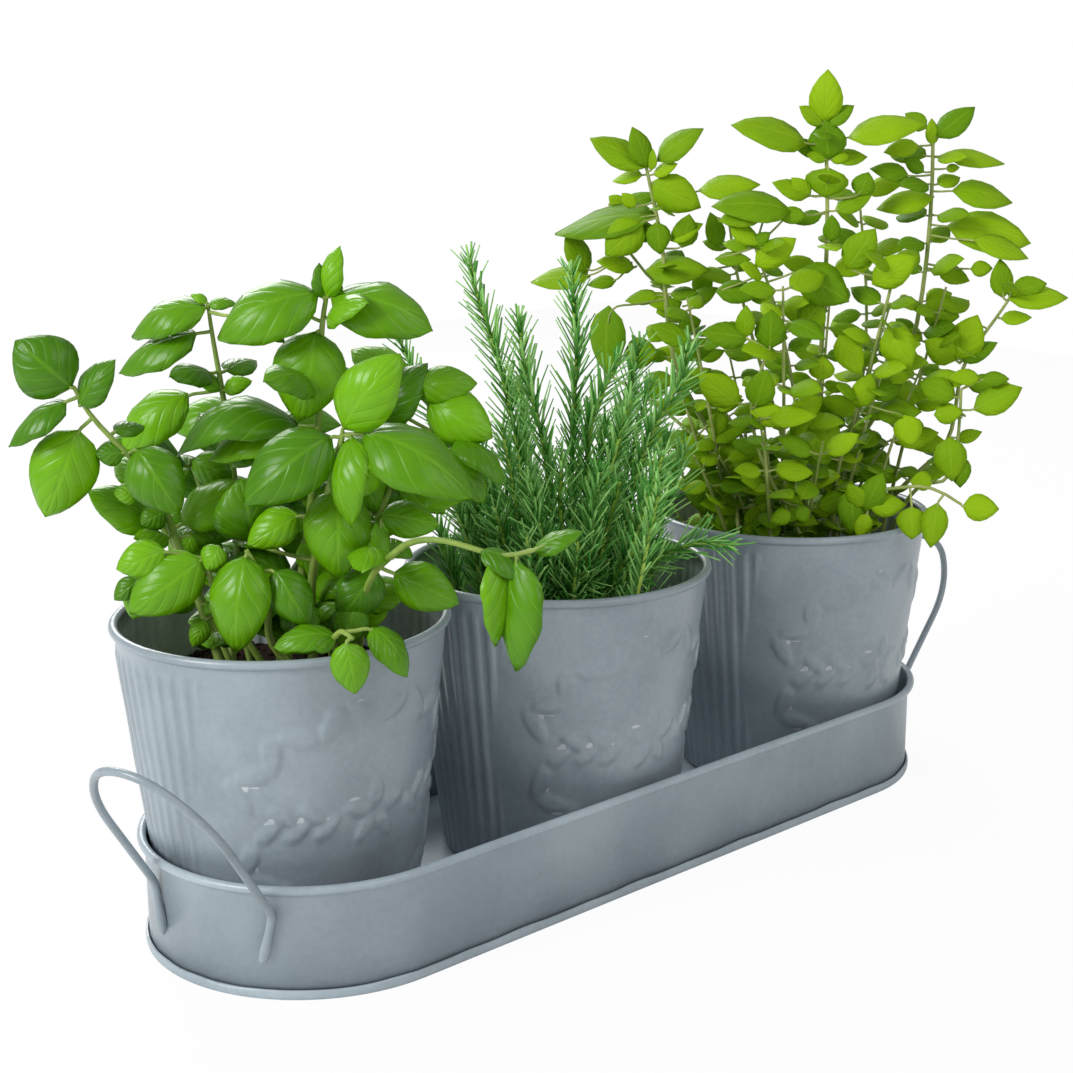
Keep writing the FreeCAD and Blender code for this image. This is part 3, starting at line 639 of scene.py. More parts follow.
# How a leaf is bent and joined, and how filling leaves sit in pairs: shares of its length or width, and turns.
leafRules = {
    "rootShare": 0.4, "bow": (0.6, 1.4), "narrowest": 0.02, "ripples": 17, "turned": 0.9, "kneeDrop": 0.04,
    "petiole": (1.1, 0.5), "petioleReach": 0.25, "pairTurn": 0.3, "pairRise": (0.3, 1.3), "pairLong": (0.65, 1.15),
    "pairFoot": 0.18, "pairTip": (-0.5, 0.1), "pairFacing": (0.75, 0.8), "pairGap": (0.8, 1.2),
}


class Herb:
    # one plant: where its pixels lie, its stems as runs of spots, and its leaves in one bmesh
    def __init__(self, side, sheet, seed):
        self.side = side
        self.sheet = sheet  # the enlarged view its pixels were read from
        self.axis = potCentre(side)
        self.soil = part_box(side + "_soil")[1].z
        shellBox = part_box(side + "_pot_shell")
        self.rimTop, self.rimReach = shellBox[1].z, (shellBox[1].x - shellBox[0].x) / 2
        self.low, self.high = fences[side]
        self.chance = random.Random(seed)
        self.runs = []
        self.stems = []
        self.bm = bmesh.new()
        self.bm.loops.layers.uv.new("blade")
        self.tint = self.bm.verts.layers.float.new("tint")

    def around(self, turn, reach, level):
        return Vector((self.axis.x + reach * math.cos(turn), self.axis.y + reach * math.sin(turn), level))

    def reachOf(self, place):
        return math.hypot(place.x - self.axis.x, place.y - self.axis.y)

    def spot(self, px, py, out):
        # the point seen at a pixel, this far in front of the pot's axis, kept inside the fence
        ray = rayThrough(self.sheet["left"] + px / self.sheet["scale"], self.sheet["top"] + py / self.sheet["scale"])
        start = view["place"]
        found = start + ray * ((out - (start - self.axis).dot(towardsCamera)) / ray.dot(towardsCamera))
        low, high = self.low + herbRules["fenceRoom"], self.high - herbRules["fenceRoom"]
        if found.x > high:
            found = start + ray * ((high - start.x) / ray.x)
        if found.x < low:
            found = start + ray * ((low - start.x) / ray.x)
        return found

    def stem(self, pixels, thick, thin, foot):
        # a stem from the soil through its pixels; the foot is a heading in degrees and a reach from the pot's axis
        spots = [self.spot(px, py, out / 1000) for px, py, out in pixels]
        start = self.around(math.radians(foot[0]), foot[1], self.soil - herbRules["rooted"])
        root = start.lerp(spots[0], leafRules["rootShare"]) + Vector((0, 0, herbRules["rootRise"]))
        spots = [start, root] + spots
        last = len(spots) - 1
        self.runs.append([(spot, thick + (thin - thick) * i / last) for i, spot in enumerate(spots)])
        self.stems.append(spots)
        return spots

    def sprig(self, foot, top, rise, radii):
        # a short stem from the soil that isn't in the photograph, bowed by its rise
        spots = [foot, foot.lerp(top, 0.5) + Vector((0, 0, rise)), top]
        self.runs.append(list(zip(spots, radii)))
        self.stems.append(spots)
        return spots

    def nearest(self, place):
        # the closest place on any stem
        best = None
        for stem in self.stems:
            for first, second in zip(stem, stem[1:]):
                line = second - first
                share = max(0.0, min(1.0, (place - first).dot(line) / max(line.length_squared, 1e-12)))
                found = first + line * share
                if best is None or (found - place).length < (best - place).length:
                    best = found
        return best

    def blade(self, foot, tip, width, normal, form, tint):
        # a leaf: a grid bent to the blade's outline, bowed along the midrib and cupped across it
        along = tip - foot
        long = along.length
        if long < 0.001:
            return
        along = along / long
        normal = normal - along * normal.dot(along)
        normal = normal.normalized() if normal.length > 1e-4 else along.orthogonal().normalized()
        side = along.cross(normal)
        made = bmesh.ops.create_grid(
            self.bm, x_segments=form["across"], y_segments=form["along"], size=0.5, calc_uvs=True
        )["verts"]
        bow = form["bow"] * long * self.chance.uniform(*leafRules["bow"])
        twist = self.chance.uniform(-form["twist"], form["twist"])
        ripple = self.chance.uniform(0, 6.3)
        for vert in made:
            across, share = vert.co.x * 2, vert.co.y + 0.5
            outline = max(0.0, math.sin(math.pi * min(1.0, share ** form["front"]))) ** form["full"]
            half = width / 2 * max(outline, leafRules["narrowest"])
            lift = bow * 4 * share * (1 - share) - form["droop"] * long * share * share
            cup = -form["cup"] * width * across * across * outline
            rippled = math.sin(share * leafRules["ripples"] + ripple)
            wave = form["wave"] * width * rippled * across * abs(across)
            turn = twist * share
            sideways = side * math.cos(turn) + normal * math.sin(turn)
            vert.co = foot + along * (long * share) + sideways * (across * half) + normal * (lift + cup + wave)
            vert[self.tint] = tint
        # what passes the limits slides along the camera's ray, so that it looks the same in the photograph's view
        ray = (foot - view["place"]).normalized()
        for axis, low, high in ((1, frontEdge, backEdge), (0, self.low, self.high)):
            lowest, highest = min(vert.co[axis] for vert in made), max(vert.co[axis] for vert in made)
            over = max(0.0, low - lowest) - max(0.0, highest - high)
            if abs(over) < herbRules["slideLimit"]:
                for vert in made:
                    vert.co += ray * (over / ray[axis])
        self.clearRim(made, foot, tip)

    def clearRim(self, made, foot, tip):
        # a leaf beside the pot's wall stays inside it, or hangs outside it where it starts over the rim
        h = herbRules
        rim, edge = self.rimTop - self.axis.z, self.rimReach
        slope = (edge - potShape["foot"]) / rim
        overRim = foot.z > self.rimTop - h["rimOut"] and self.reachOf(tip) > edge - h["rimOut"]
        hangs = overRim or self.reachOf(foot) > edge
        for vert in made:
            level, reach = vert.co.z - self.axis.z, self.reachOf(vert.co)
            if level > rim + h["overRim"]:
                continue
            wall = potShape["foot"] + slope * level
            if hangs and level > rim - h["underRim"] and edge - h["rimBand"] < reach < edge + h["rimOut"]:
                vert.co.z = self.rimTop + h["overRim"]
                continue
            wanted = max(reach, wall + h["outsideWall"]) if hangs else min(reach, wall - h["insideWall"])
            grown = wanted / max(reach, 0.001)
            vert.co.x = self.axis.x + (vert.co.x - self.axis.x) * grown
            vert.co.y = self.axis.y + (vert.co.y - self.axis.y) * grown

    def leaf(self, foot, tip, width, form, facing=None):
        # a leaf as the photograph shows it: turned about its midrib till it looks as wide as it should
        along = (tip - foot).normalized()
        towards = (view["place"] - foot).normalized()
        facing = towards - along * towards.dot(along) if facing is None else facing
        facing.normalize()
        real = max(width, form["aspect"] * (tip - foot).length)
        turn = math.acos(max(-1.0, min(1.0, width / real)))
        above = Vector((0, 0, 1)) - along * along.z
        sense = 1 if facing.cross(above).dot(along) > 0 else -1
        normal = Matrix.Rotation(sense * turn * leafRules["turned"], 3, along) @ facing
        self.blade(foot, tip, real, normal, form, self.chance.random())
        joint = self.nearest(foot)
        if (joint - foot).length > herbRules["joined"]:
            thin, (wide, narrow) = form["petiole"], leafRules["petiole"]
            knee = joint.lerp(foot, 0.5) + Vector((0, 0, -leafRules["kneeDrop"] * (joint - foot).length))
            end = foot.lerp(tip, leafRules["petioleReach"])
            self.runs.append([(joint, thin * wide), (knee, thin), (foot, thin), (end, thin * narrow)])

    def shownLeaves(self, rows, out, spread, form):
        # rows of foot pixel, tip pixel and width in pixels, all about this far in front of the pot's axis
        for px, py, tx, ty, wide in rows:
            foot = self.spot(px, py, out / 1000)
            near = self.nearest(foot)
            if (near - foot).length < herbRules["snapWithin"]:
                foot = self.spot(px, py, (near - self.axis).dot(towardsCamera) + 0.001)
            level = (foot - self.axis).dot(towardsCamera)
            long = math.hypot(tx - px, ty - py) / self.sheet["scale"] / herbRules["pixelsPerMetre"]
            tip = self.spot(tx, ty, level + long * spread)
            scale = (foot - view["place"]).length / view["focalPixels"] / self.sheet["scale"]
            self.leaf(foot, tip, wide * scale, form)

    def pairsAlong(self, spots, first, gap, size, form, rise=0.5):
        # filling leaves in pairs up a stem, each pair turned a quarter from the one below
        uniform, p = self.chance.uniform, leafRules
        facing = Vector((0, 0, p["pairFacing"][0])) + towardsCamera * p["pairFacing"][1]
        walked, turn = 0.0, uniform(0, 3)
        due = first
        for start, end in zip(spots, spots[1:]):
            step = (end - start).length
            while due < walked + step:
                place = start.lerp(end, (due - walked) / step)
                for half in (0, math.pi):
                    heading = turn + half + uniform(-p["pairTurn"], p["pairTurn"])
                    outward = Vector((math.cos(heading), math.sin(heading), rise * uniform(*p["pairRise"])))
                    long = size * uniform(*p["pairLong"])
                    foot = place + outward.normalized() * long * p["pairFoot"]
                    tip = foot + (outward + Vector((0, 0, uniform(*p["pairTip"])))).normalized() * long
                    above = min(tip.z, foot.z) > self.rimTop + herbRules["clearAbove"]
                    widest = form["spread"] if above else self.rimReach - herbRules["clearInside"]
                    inside = self.low < foot.x < self.high and self.low < tip.x < self.high
                    if inside and self.reachOf(tip) < widest and tip.z > self.soil + herbRules["clearSoil"]:
                        self.leaf(foot, tip, long * form["aspect"], form, facing.copy())
                turn += math.pi / 2
                due += gap * uniform(*p["pairGap"])
            walked += step

    def finish(self, name, node, materials, thick=None):
        # blades are given their thickness, needles have theirs; the stems join them with the second material
        bm = self.bm
        if thick:
            bmesh.ops.recalc_face_normals(bm, faces=bm.faces[:])
            bmesh.ops.solidify(bm, geom=bm.faces[:], thickness=thick)
        count = len(bm.faces)
        bm.from_mesh(tubes(self.runs, name + "Stems", 1))
        bm.faces.ensure_lookup_table()
        for face in bm.faces[count:]:
            face.material_index = 1
        for vert in bm.verts:
            vert.co.x = max(self.low, min(self.high, vert.co.x))
            vert.co.y = max(frontEdge, min(backEdge, vert.co.y))
        mesh = meshOf(bm, name)
        finishPiece(mesh, name, self.side + "_pot", [node], materials)
        print("planter:", name, len(mesh.polygons), "faces")


# Each stem: pixels with millimetres in front of the pot's axis, radius at its foot and tip, heading and reach of the
# foot. Each group of leaves: millimetres in front, how far the tips lean out, changed form values, and a row a leaf.
basilView = {"left": 1.5, "top": 241.6, "scale": 2.933}
basilForm = {
    "across": 8, "along": 11, "front": 0.8, "full": 0.72, "bow": 0.15, "droop": 0.08, "cup": 0.22, "wave": 0.025,
    "twist": 0.25, "aspect": 0.64, "petiole": 0.0007, "spread": 0.075,
}
basilFill = {
    "stems": (("crown", 0.026), ("back", 0.024), ("rear", 0.03), ("right", 0.022), ("left", 0.02)),
    "sprigs": ((100, 0.03, 0.06), (150, 0.03, 0.05), (20, 0.03, 0.05), (60, 0.034, 0.07), (-20, 0.03, 0.055)),
    "first": 0.042, "gap": 0.026, "sprigFirst": 0.02, "sprigGap": 0.016, "sprigLeaf": 0.03, "sprigRadius": 0.0013,
    "sprigSpan": (0.5, 1.5), "sprigOver": 0.02, "sprigRise": 0.01, "sprigLean": 0.8,
    "coarse": {"across": 6, "along": 8},
}
basilStems = {
    "crown": ([
        (880, 1000, 0), (925, 640, 2), (935, 400, 4), (938, 235, 5), (955, 150, 8)
    ], 0.0021, 0.0008, (60, 0.006)),
    "back": ([
        (700, 850, -14), (672, 600, -15), (645, 420, -16), (620, 290, -16), (606, 190, -16)
    ], 0.0019, 0.0007, (150, 0.02)),
    "left": ([
        (515, 890, 10), (480, 780, 16), (425, 680, 22), (355, 610, 26), (240, 490, 30), (212, 425, 32)
    ], 0.0019, 0.0008, (200, 0.03)),
    "front": ([(905, 1000, 20), (950, 760, 30), (985, 640, 36), (1000, 565, 38)], 0.002, 0.001, (-60, 0.012)),
    "low": ([(640, 1080, 34), (610, 980, 40), (600, 930, 42)], 0.0016, 0.0009, (-120, 0.026)),
    "mid": ([(778, 1180, 34), (785, 1050, 40), (750, 960, 44), (718, 905, 46)], 0.0017, 0.0009, (-100, 0.03)),
    "right": ([(1010, 1130, 16), (1060, 1010, 24), (1100, 950, 28), (1112, 900, 30)], 0.0016, 0.0009, (-50, 0.034)),
    "rear": ([(1010, 1000, -14), (1090, 760, -16), (1165, 560, -16), (1225, 430, -16)], 0.0019, 0.0009, (60, 0.03)),
    "arch": ([
        (1070, 990, 36), (1140, 922, 50), (1200, 876, 58), (1290, 872, 64), (1400, 905, 68), (1480, 930, 70),
        (1560, 905, 72)
    ], 0.0014, 0.0009, (-55, 0.028)),
    "seat": ([(960, 1180, 44), (985, 1148, 57), (1004, 1140, 67), (1030, 1165, 70)], 0.0014, 0.0008, (-90, 0.036)),
}
basilLeaves = [
    (6, 0.15, {}, [
        (930, 150, 627, 272, 150), (966, 162, 1266, 246, 150), (925, 262, 872, 528, 215), (700, 215, 832, 288, 74)
    ]),
    (8, 0.05, {"cup": 0.3}, [(955, 165, 984, 12, 66), (945, 168, 938, 62, 44), (960, 160, 1000, 130, 40)]),
    (-16, -0.1, {}, [
        (604, 192, 373, 268, 88), (606, 185, 688, 178, 34), (604, 180, 556, 153, 26), (572, 268, 332, 372, 88)
    ]),
    (-16, 0.1, {}, [(645, 432, 563, 382, 46), (650, 436, 732, 406, 50), (548, 446, 338, 600, 120)]),
    (32, 0.1, {}, [
        (205, 430, 40, 290, 195), (228, 482, 326, 345, 96), (190, 468, 10, 592, 72), (226, 552, 128, 812, 195)
    ]),
    (24, 0.25, {}, [
        (395, 606, 520, 798, 168), (360, 620, 274, 622, 76), (410, 740, 328, 735, 66), (478, 790, 408, 828, 84)
    ]),
    (2, 0.1, {"bow": 0.24}, [(872, 540, 505, 608, 116), (880, 548, 602, 628, 110)]),
    (38, 0.22, {}, [
        (968, 570, 705, 764, 198), (1066, 560, 1384, 740, 196), (1030, 572, 1012, 838, 116),
        (1000, 548, 1160, 332, 178)
    ]),
    (-14, 0.0, {}, [
        (1215, 430, 1392, 412, 112), (1250, 468, 1436, 572, 165), (1120, 545, 1240, 352, 110),
        (1330, 585, 1474, 700, 66)
    ]),
    (20, 0.2, {}, [
        (740, 884, 700, 700, 205), (985, 722, 985, 990, 198), (870, 800, 720, 890, 120), (1112, 800, 1282, 830, 112)
    ]),
    (40, 0.2, {}, [
        (590, 930, 372, 1092, 172), (480, 905, 336, 962, 110), (400, 990, 330, 1052, 66), (640, 892, 600, 962, 80)
    ]),
    (46, 0.2, {}, [(716, 920, 682, 1208, 178), (800, 962, 902, 1128, 132), (600, 1108, 560, 1190, 62)]),
    (50, 0.2, {}, [(985, 1160, 797, 1182, 86), (1086, 1130, 1196, 1274, 98)]),
    (70, 0.02, {}, [(1010, 1175, 1040, 1330, 118)]),
    (30, 0.2, {}, [(1100, 960, 990, 1112, 142), (1112, 950, 1106, 826, 62), (1150, 972, 1340, 1062, 144)]),
    (70, 0.05, {}, [
        (1404, 905, 1556, 990, 64), (1452, 925, 1466, 1190, 84), (1512, 930, 1490, 1264, 132),
        (1560, 905, 1704, 842, 66)
    ]),
    (0, 0.0, {}, [
        (560, 640, 692, 702, 104), (622, 722, 652, 822, 92), (560, 860, 520, 930, 70), (760, 760, 850, 700, 90),
        (850, 620, 740, 712, 120), (720, 520, 640, 610, 100), (560, 960, 500, 1050, 100), (880, 880, 962, 966, 110)
    ]),
    (-4, 0.1, {}, [
        (1180, 640, 1300, 800, 135), (1290, 610, 1420, 765, 125), (1050, 650, 1110, 800, 110),
        (1230, 560, 1330, 700, 120)
    ]),
    (34, 0.2, {}, [
        (430, 960, 385, 1110, 110), (700, 1010, 760, 1110, 110), (860, 1060, 900, 1180, 120),
        (1040, 1060, 1000, 1190, 110)
    ]),
]


def growBasil():
    herb = Herb("left", basilView, 11)
    form, b = basilForm, basilFill
    stems = {name: herb.stem(*row) for name, row in basilStems.items()}
    for out, spread, changes, rows in basilLeaves:
        herb.shownLeaves(rows, out, spread, {**form, **changes})
    for name, size in b["stems"]:
        herb.pairsAlong(stems[name], b["first"], b["gap"], size, {**form, **b["coarse"]})
    for turn, reach, high in b["sprigs"]:
        heading = math.radians(turn)
        foot = herb.around(heading, reach * b["sprigSpan"][0], herb.soil - herbRules["rooted"])
        top = herb.around(heading, reach * b["sprigSpan"][1], herb.soil + high + b["sprigOver"])
        if herb.low < top.x < herb.high:
            spots = herb.sprig(foot, top, b["sprigRise"], [b["sprigRadius"]] * 3)
            herb.pairsAlong(spots, b["sprigFirst"], b["sprigGap"], b["sprigLeaf"], form, b["sprigLean"])
    herb.finish("basilPlant", "basil_plant", [basilLeaf, basilStem], 0.0004)


growBasil()

oreganoView = {"left": 499.5, "top": 50.0, "scale": 2.74}
oreganoForm = {
    "across": 4, "along": 6, "front": 0.82, "full": 0.8, "bow": 0.06, "droop": 0.05, "cup": 0.08, "wave": 0.01,
    "twist": 0.25, "aspect": 0.6, "petiole": 0.0005, "spread": 0.1,
}
oreganoFill = {
    "stems": 9, "first": 0.03, "gap": 0.014, "leaf": 0.018, "sprigs": 22, "reach": (0.012, 0.044),
    "high": (0.05, 0.15), "lean": 0.028, "rise": 0.012, "radii": (0.001, 0.0008, 0.0005), "sprigFirst": 0.022,
    "sprigLeaf": 0.0185,
}
oreganoStems = [
    ([
        (640, 1150, -5), (480, 890, 0), (455, 700, 3), (450, 540, 4), (412, 370, 5), (398, 300, 5)
    ], 0.0014, 0.0007, (200, 0.018)),
    ([(868, 1100, 0), (872, 960, 0), (890, 700, 2), (902, 420, 4), (892, 200, 5)], 0.0016, 0.0008, (20, 0.004)),
    ([
        (960, 1100, -6), (1080, 930, -8), (1145, 780, -8), (1188, 430, -8), (1188, 225, -8)
    ], 0.0016, 0.0008, (0, 0.02)),
    ([
        (1150, 1150, 0), (1240, 1080, 0), (1262, 860, 2), (1340, 765, 3), (1398, 680, 4)
    ], 0.0013, 0.0007, (-10, 0.036)),
    ([(830, 1150, 14), (810, 940, 20), (760, 700, 22), (700, 540, 22)], 0.0012, 0.0006, (-80, 0.012)),
    ([
        (700, 1090, -16), (560, 930, -20), (500, 700, -22), (340, 560, -22), (300, 420, -22)
    ], 0.0012, 0.0006, (150, 0.03)),
    ([(920, 1150, 16), (985, 980, 22), (1065, 680, 24), (1095, 560, 24)], 0.0012, 0.0006, (-50, 0.02)),
    ([(800, 1130, -20), (720, 880, -26), (650, 640, -28), (630, 480, -28)], 0.0012, 0.0006, (110, 0.02)),
    ([(950, 1130, -26), (1000, 900, -30), (1010, 640, -32), (985, 400, -32)], 0.0012, 0.0006, (70, 0.03)),
    ([(980, 1215, 36), (1080, 1200, 46), (1190, 1190, 52), (1265, 1245, 56)], 0.0011, 0.0006, (-60, 0.038)),
    ([(1150, 1180, 20), (1235, 1190, 26), (1262, 1040, 26), (1265, 930, 26)], 0.0011, 0.0006, (-30, 0.044)),
    ([(740, 1180, 30), (690, 1040, 36), (690, 930, 38), (740, 820, 38)], 0.0011, 0.0006, (-110, 0.03)),
    ([(640, 1180, 10), (560, 1080, 14), (420, 960, 12), (300, 890, 10)], 0.0011, 0.0006, (190, 0.04)),
    ([(990, 1270, 26), (1005, 1230, 28)], 0.0011, 0.0007, (-75, 0.045)),
]
oreganoLeaves = [
    (4, 0.1, {}, [
        (890, 200, 900, 53, 92), (888, 205, 823, 152, 42), (895, 205, 971, 150, 46), (900, 300, 895, 192, 104),
        (845, 258, 637, 197, 74), (955, 240, 1168, 192, 70), (905, 300, 960, 290, 34), (898, 300, 840, 284, 32),
        (902, 322, 890, 404, 118), (850, 400, 749, 360, 52), (852, 402, 800, 350, 46)
    ]),
    (-8, -0.1, {}, [
        (1198, 240, 1302, 154, 68), (1170, 215, 1112, 174, 48), (1186, 262, 1186, 186, 36),
        (1224, 292, 1387, 305, 44), (1240, 385, 1409, 413, 66), (1122, 345, 1016, 322, 50),
        (1162, 335, 1110, 296, 38), (1150, 262, 1052, 278, 46), (1190, 402, 1032, 430, 46),
        (985, 400, 1012, 334, 66), (1222, 325, 1262, 322, 24)
    ]),
    (5, 0.15, {}, [
        (402, 322, 250, 236, 72), (402, 322, 366, 211, 58), (432, 305, 556, 213, 68), (416, 330, 420, 272, 28),
        (416, 362, 552, 432, 104), (545, 385, 714, 362, 58), (432, 452, 146, 492, 76), (372, 430, 336, 392, 38),
        (390, 470, 290, 562, 104), (400, 605, 578, 598, 78), (500, 542, 520, 450, 72), (430, 470, 440, 560, 70)
    ]),
    (-22, 0.0, {}, [
        (240, 612, 186, 495, 66), (250, 620, 84, 630, 54), (320, 632, 240, 642, 38), (340, 430, 300, 400, 40),
        (560, 602, 550, 690, 58), (600, 540, 578, 445, 54), (430, 720, 500, 690, 54), (490, 760, 552, 740, 60)
    ]),
    (20, 0.1, {}, [
        (800, 440, 582, 420, 74), (730, 440, 600, 465, 60), (632, 482, 720, 532, 52), (700, 592, 812, 516, 78),
        (590, 572, 690, 570, 30), (592, 662, 720, 664, 62), (840, 452, 756, 452, 46), (690, 540, 742, 500, 40)
    ]),
    (24, 0.2, {}, [
        (910, 525, 910, 452, 48), (950, 600, 1030, 490, 92), (1020, 642, 1144, 566, 88), (820, 602, 958, 690, 118),
        (830, 762, 884, 690, 86), (930, 780, 990, 890, 78), (1060, 762, 1130, 870, 96), (880, 905, 886, 840, 70)
    ]),
    (3, 0.1, {}, [
        (1225, 482, 1460, 522, 90), (1300, 520, 1452, 566, 52), (1380, 680, 1372, 572, 62),
        (1392, 682, 1558, 674, 58), (1402, 660, 1500, 640, 62), (1372, 736, 1460, 730, 40),
        (1160, 702, 1260, 732, 92), (1252, 850, 1310, 726, 98), (1250, 850, 1166, 796, 74),
        (1262, 852, 1364, 798, 54), (1290, 600, 1352, 598, 44), (1200, 600, 1290, 632, 52)
    ]),
    (30, 0.15, {}, [
        (1298, 986, 1432, 922, 78), (1320, 902, 1398, 900, 40), (1318, 896, 1232, 896, 44),
        (1250, 952, 1150, 910, 74), (1232, 1060, 1240, 1182, 88), (1110, 1000, 1130, 1086, 78),
        (1190, 1180, 1125, 1182, 54), (1190, 1000, 1270, 990, 60), (1262, 1110, 1262, 1200, 60)
    ]),
    (55, 0.15, {}, [(1268, 1250, 1370, 1258, 76), (1200, 1240, 1180, 1365, 74), (1130, 1250, 1130, 1342, 84)]),
    (36, 0.2, {}, [
        (655, 970, 546, 890, 90), (700, 980, 732, 876, 84), (690, 992, 800, 1010, 68), (866, 985, 860, 1140, 140),
        (682, 790, 553, 772, 74), (672, 790, 676, 700, 54), (740, 820, 746, 712, 88), (980, 980, 1020, 886, 68)
    ]),
    (14, 0.2, {}, [
        (300, 700, 290, 890, 96), (340, 830, 436, 830, 88), (600, 992, 600, 1055, 58), (640, 1065, 640, 1166, 94),
        (570, 1092, 480, 1090, 74), (570, 1130, 560, 1275, 130), (660, 1130, 712, 1202, 80),
        (420, 960, 440, 880, 60), (640, 1262, 602, 1322, 64), (700, 1250, 690, 1320, 50)
    ]),
    (50, 0.15, {}, [
        (1000, 1262, 1050, 1160, 74), (998, 1252, 956, 1190, 54), (1012, 1250, 1115, 1246, 64),
        (962, 1200, 970, 1330, 74), (800, 1270, 742, 1290, 48), (820, 1250, 840, 1295, 46),
        (1010, 1270, 980, 1335, 50)
    ]),
]


def growOregano():
    herb = Herb("right", oreganoView, 23)
    form, o, chance = oreganoForm, oreganoFill, herb.chance
    stems = [herb.stem(*row) for row in oreganoStems]
    for out, spread, changes, rows in oreganoLeaves:
        herb.shownLeaves(rows, out, spread, {**form, **changes})
    for spots in stems[:o["stems"]]:
        herb.pairsAlong(spots, o["first"], o["gap"], o["leaf"], form)
    for _ in range(o["sprigs"]):
        turn, reach = chance.uniform(0, 2 * math.pi), chance.uniform(*o["reach"])
        foot = herb.around(turn, reach, herb.soil - herbRules["rooted"])
        high = chance.uniform(*o["high"])
        top = foot + Vector((math.cos(turn) * o["lean"], math.sin(turn) * o["lean"], high))
        if herb.low + 0.01 < top.x < herb.high:
            spots = herb.sprig(foot, top, o["rise"], o["radii"])
            herb.pairsAlong(spots, o["sprigFirst"], o["gap"], o["sprigLeaf"], form)
    herb.finish("oreganoPlant", "oregano_plant", [oreganoLeaf, oreganoStem], 0.0003)


growOregano()

# Each rosemary stem: pixels with millimetres in front of the pot's axis, and how far up its needles begin.
rosemaryView = {"left": 0.0, "top": 0.0, "scale": 1.0}
needleForm = {
    "long": 0.0155, "radii": (0.000675, 0.00042), "flat": 0.55, "gap": 0.0014, "lift": 1.6, "turn": 1.2,
    "taperFrom": 0.8, "taper": 2.2,
    "rimRoom": 0.0075, "sag": (-0.1, 0.12), "overRim": 0.001, "sizes": (0.6, 1.15), "spread": 0.6,
}
rosemaryFill = {
    "radii": (0.001, 0.0005), "sprigs": 44, "apart": 2.4, "reach": (0.006, 0.046), "high": (0.035, 0.105),
    "lean": (0.12, 0.4), "least": 0.03, "rooted": 0.002, "fenceRoom": 0.004, "radius": 0.0007, "first": 0.006,
    "long": 0.95, "dense": 0.8, "stemReach": (0.004, 0.03), "spread": 0.3, "highFall": (1.15, 9), "rise": 0.08,
}
rosemaryStems = [
    ([(530, 560, 6), (520, 450, 6), (499, 363, 4), (489, 330, 3), (475, 289, 2), (469, 256, 2)], 0.012),
    ([(556, 560, 16), (547, 467, 18), (540, 428, 18), (526, 378, 18), (518, 318, 18)], 0.008),
    ([(572, 540, 0), (572, 440, 2), (575, 388, 2), (577, 339, 2), (571, 270, 2)], 0.008),
    ([(585, 560, 10), (588, 428, 10), (603, 392, 10), (620, 357, 10)], 0.01),
    ([(600, 560, -10), (612, 460, -12), (630, 390, -14), (640, 345, -14)], 0.02),
    ([(620, 550, 4), (634, 480, 6), (650, 436, 8), (681, 382, 8), (690, 345, 8)], 0.02),
    ([(500, 520, -18), (450, 440, -20), (415, 380, -20), (397, 332, -20)], 0.03),
    ([(640, 570, 20), (668, 552, 30), (700, 540, 36), (735, 546, 40)], 0.02),
    ([(590, 580, 34), (592, 520, 40), (600, 470, 42)], 0.01),
    ([(560, 590, 30), (540, 530, 38), (528, 480, 40)], 0.01),
    ([(620, 575, 26), (640, 520, 32), (664, 480, 34)], 0.015),
    ([(500, 570, 10), (482, 530, 12), (470, 470, 12)], 0.02),
    ([(640, 560, 0), (668, 500, -2), (684, 450, -4)], 0.02),
]


def addNeedle(herb, place, heading, along, long):
    # a thin flattened spike, left out where it would meet the pot's wall
    n = needleForm
    direction = (heading + along * n["lift"]).normalized()
    tip = place + direction * long
    inside, low = herb.reachOf(place) < herb.rimReach, min(place.z, tip.z) < herb.rimTop + n["overRim"]
    if inside and low and herb.reachOf(tip) > herb.rimReach - n["rimRoom"]:
        return
    turned = Matrix.Translation(place + direction * long / 2) @ direction.to_track_quat("Z", "Y").to_matrix().to_4x4()
    made = bmesh.ops.create_cone(
        herb.bm, cap_ends=True, segments=4, radius1=n["radii"][0], radius2=n["radii"][1], depth=long, calc_uvs=False,
        matrix=turned @ Matrix.Diagonal((1.0, n["flat"], 1.0, 1.0)),
    )["verts"]
    tint = herb.chance.random()
    sag = herb.chance.uniform(*n["sag"]) * long
    for vert in made:
        share = (vert.co - place).dot(direction) / long
        vert.co += heading * (sag * share * share)
        vert[herb.tint] = tint


def needlesAlong(herb, spots, first, long, dense=1.0):
    n, chance = needleForm, herb.chance
    walked, due, turn = 0.0, first, chance.uniform(0, 6)
    total = sum((b - a).length for a, b in zip(spots, spots[1:]))
    for start, end in zip(spots, spots[1:]):
        step = (end - start).length
        along = (end - start).normalized()
        side = along.orthogonal().normalized()
        other = along.cross(side)
        while due < walked + step:
            place = start.lerp(end, (due - walked) / step)
            near = due / total
            size = long * (1.0 if near < n["taperFrom"] else 1.0 - n["taper"] * (near - n["taperFrom"]))
            size *= chance.uniform(*n["sizes"])
            for half in (0, math.pi):
                heading = turn + half + chance.uniform(-n["spread"], n["spread"])
                addNeedle(herb, place, side * math.cos(heading) + other * math.sin(heading), along, size)
            turn += n["turn"]
            due += n["gap"] / dense
        walked += step


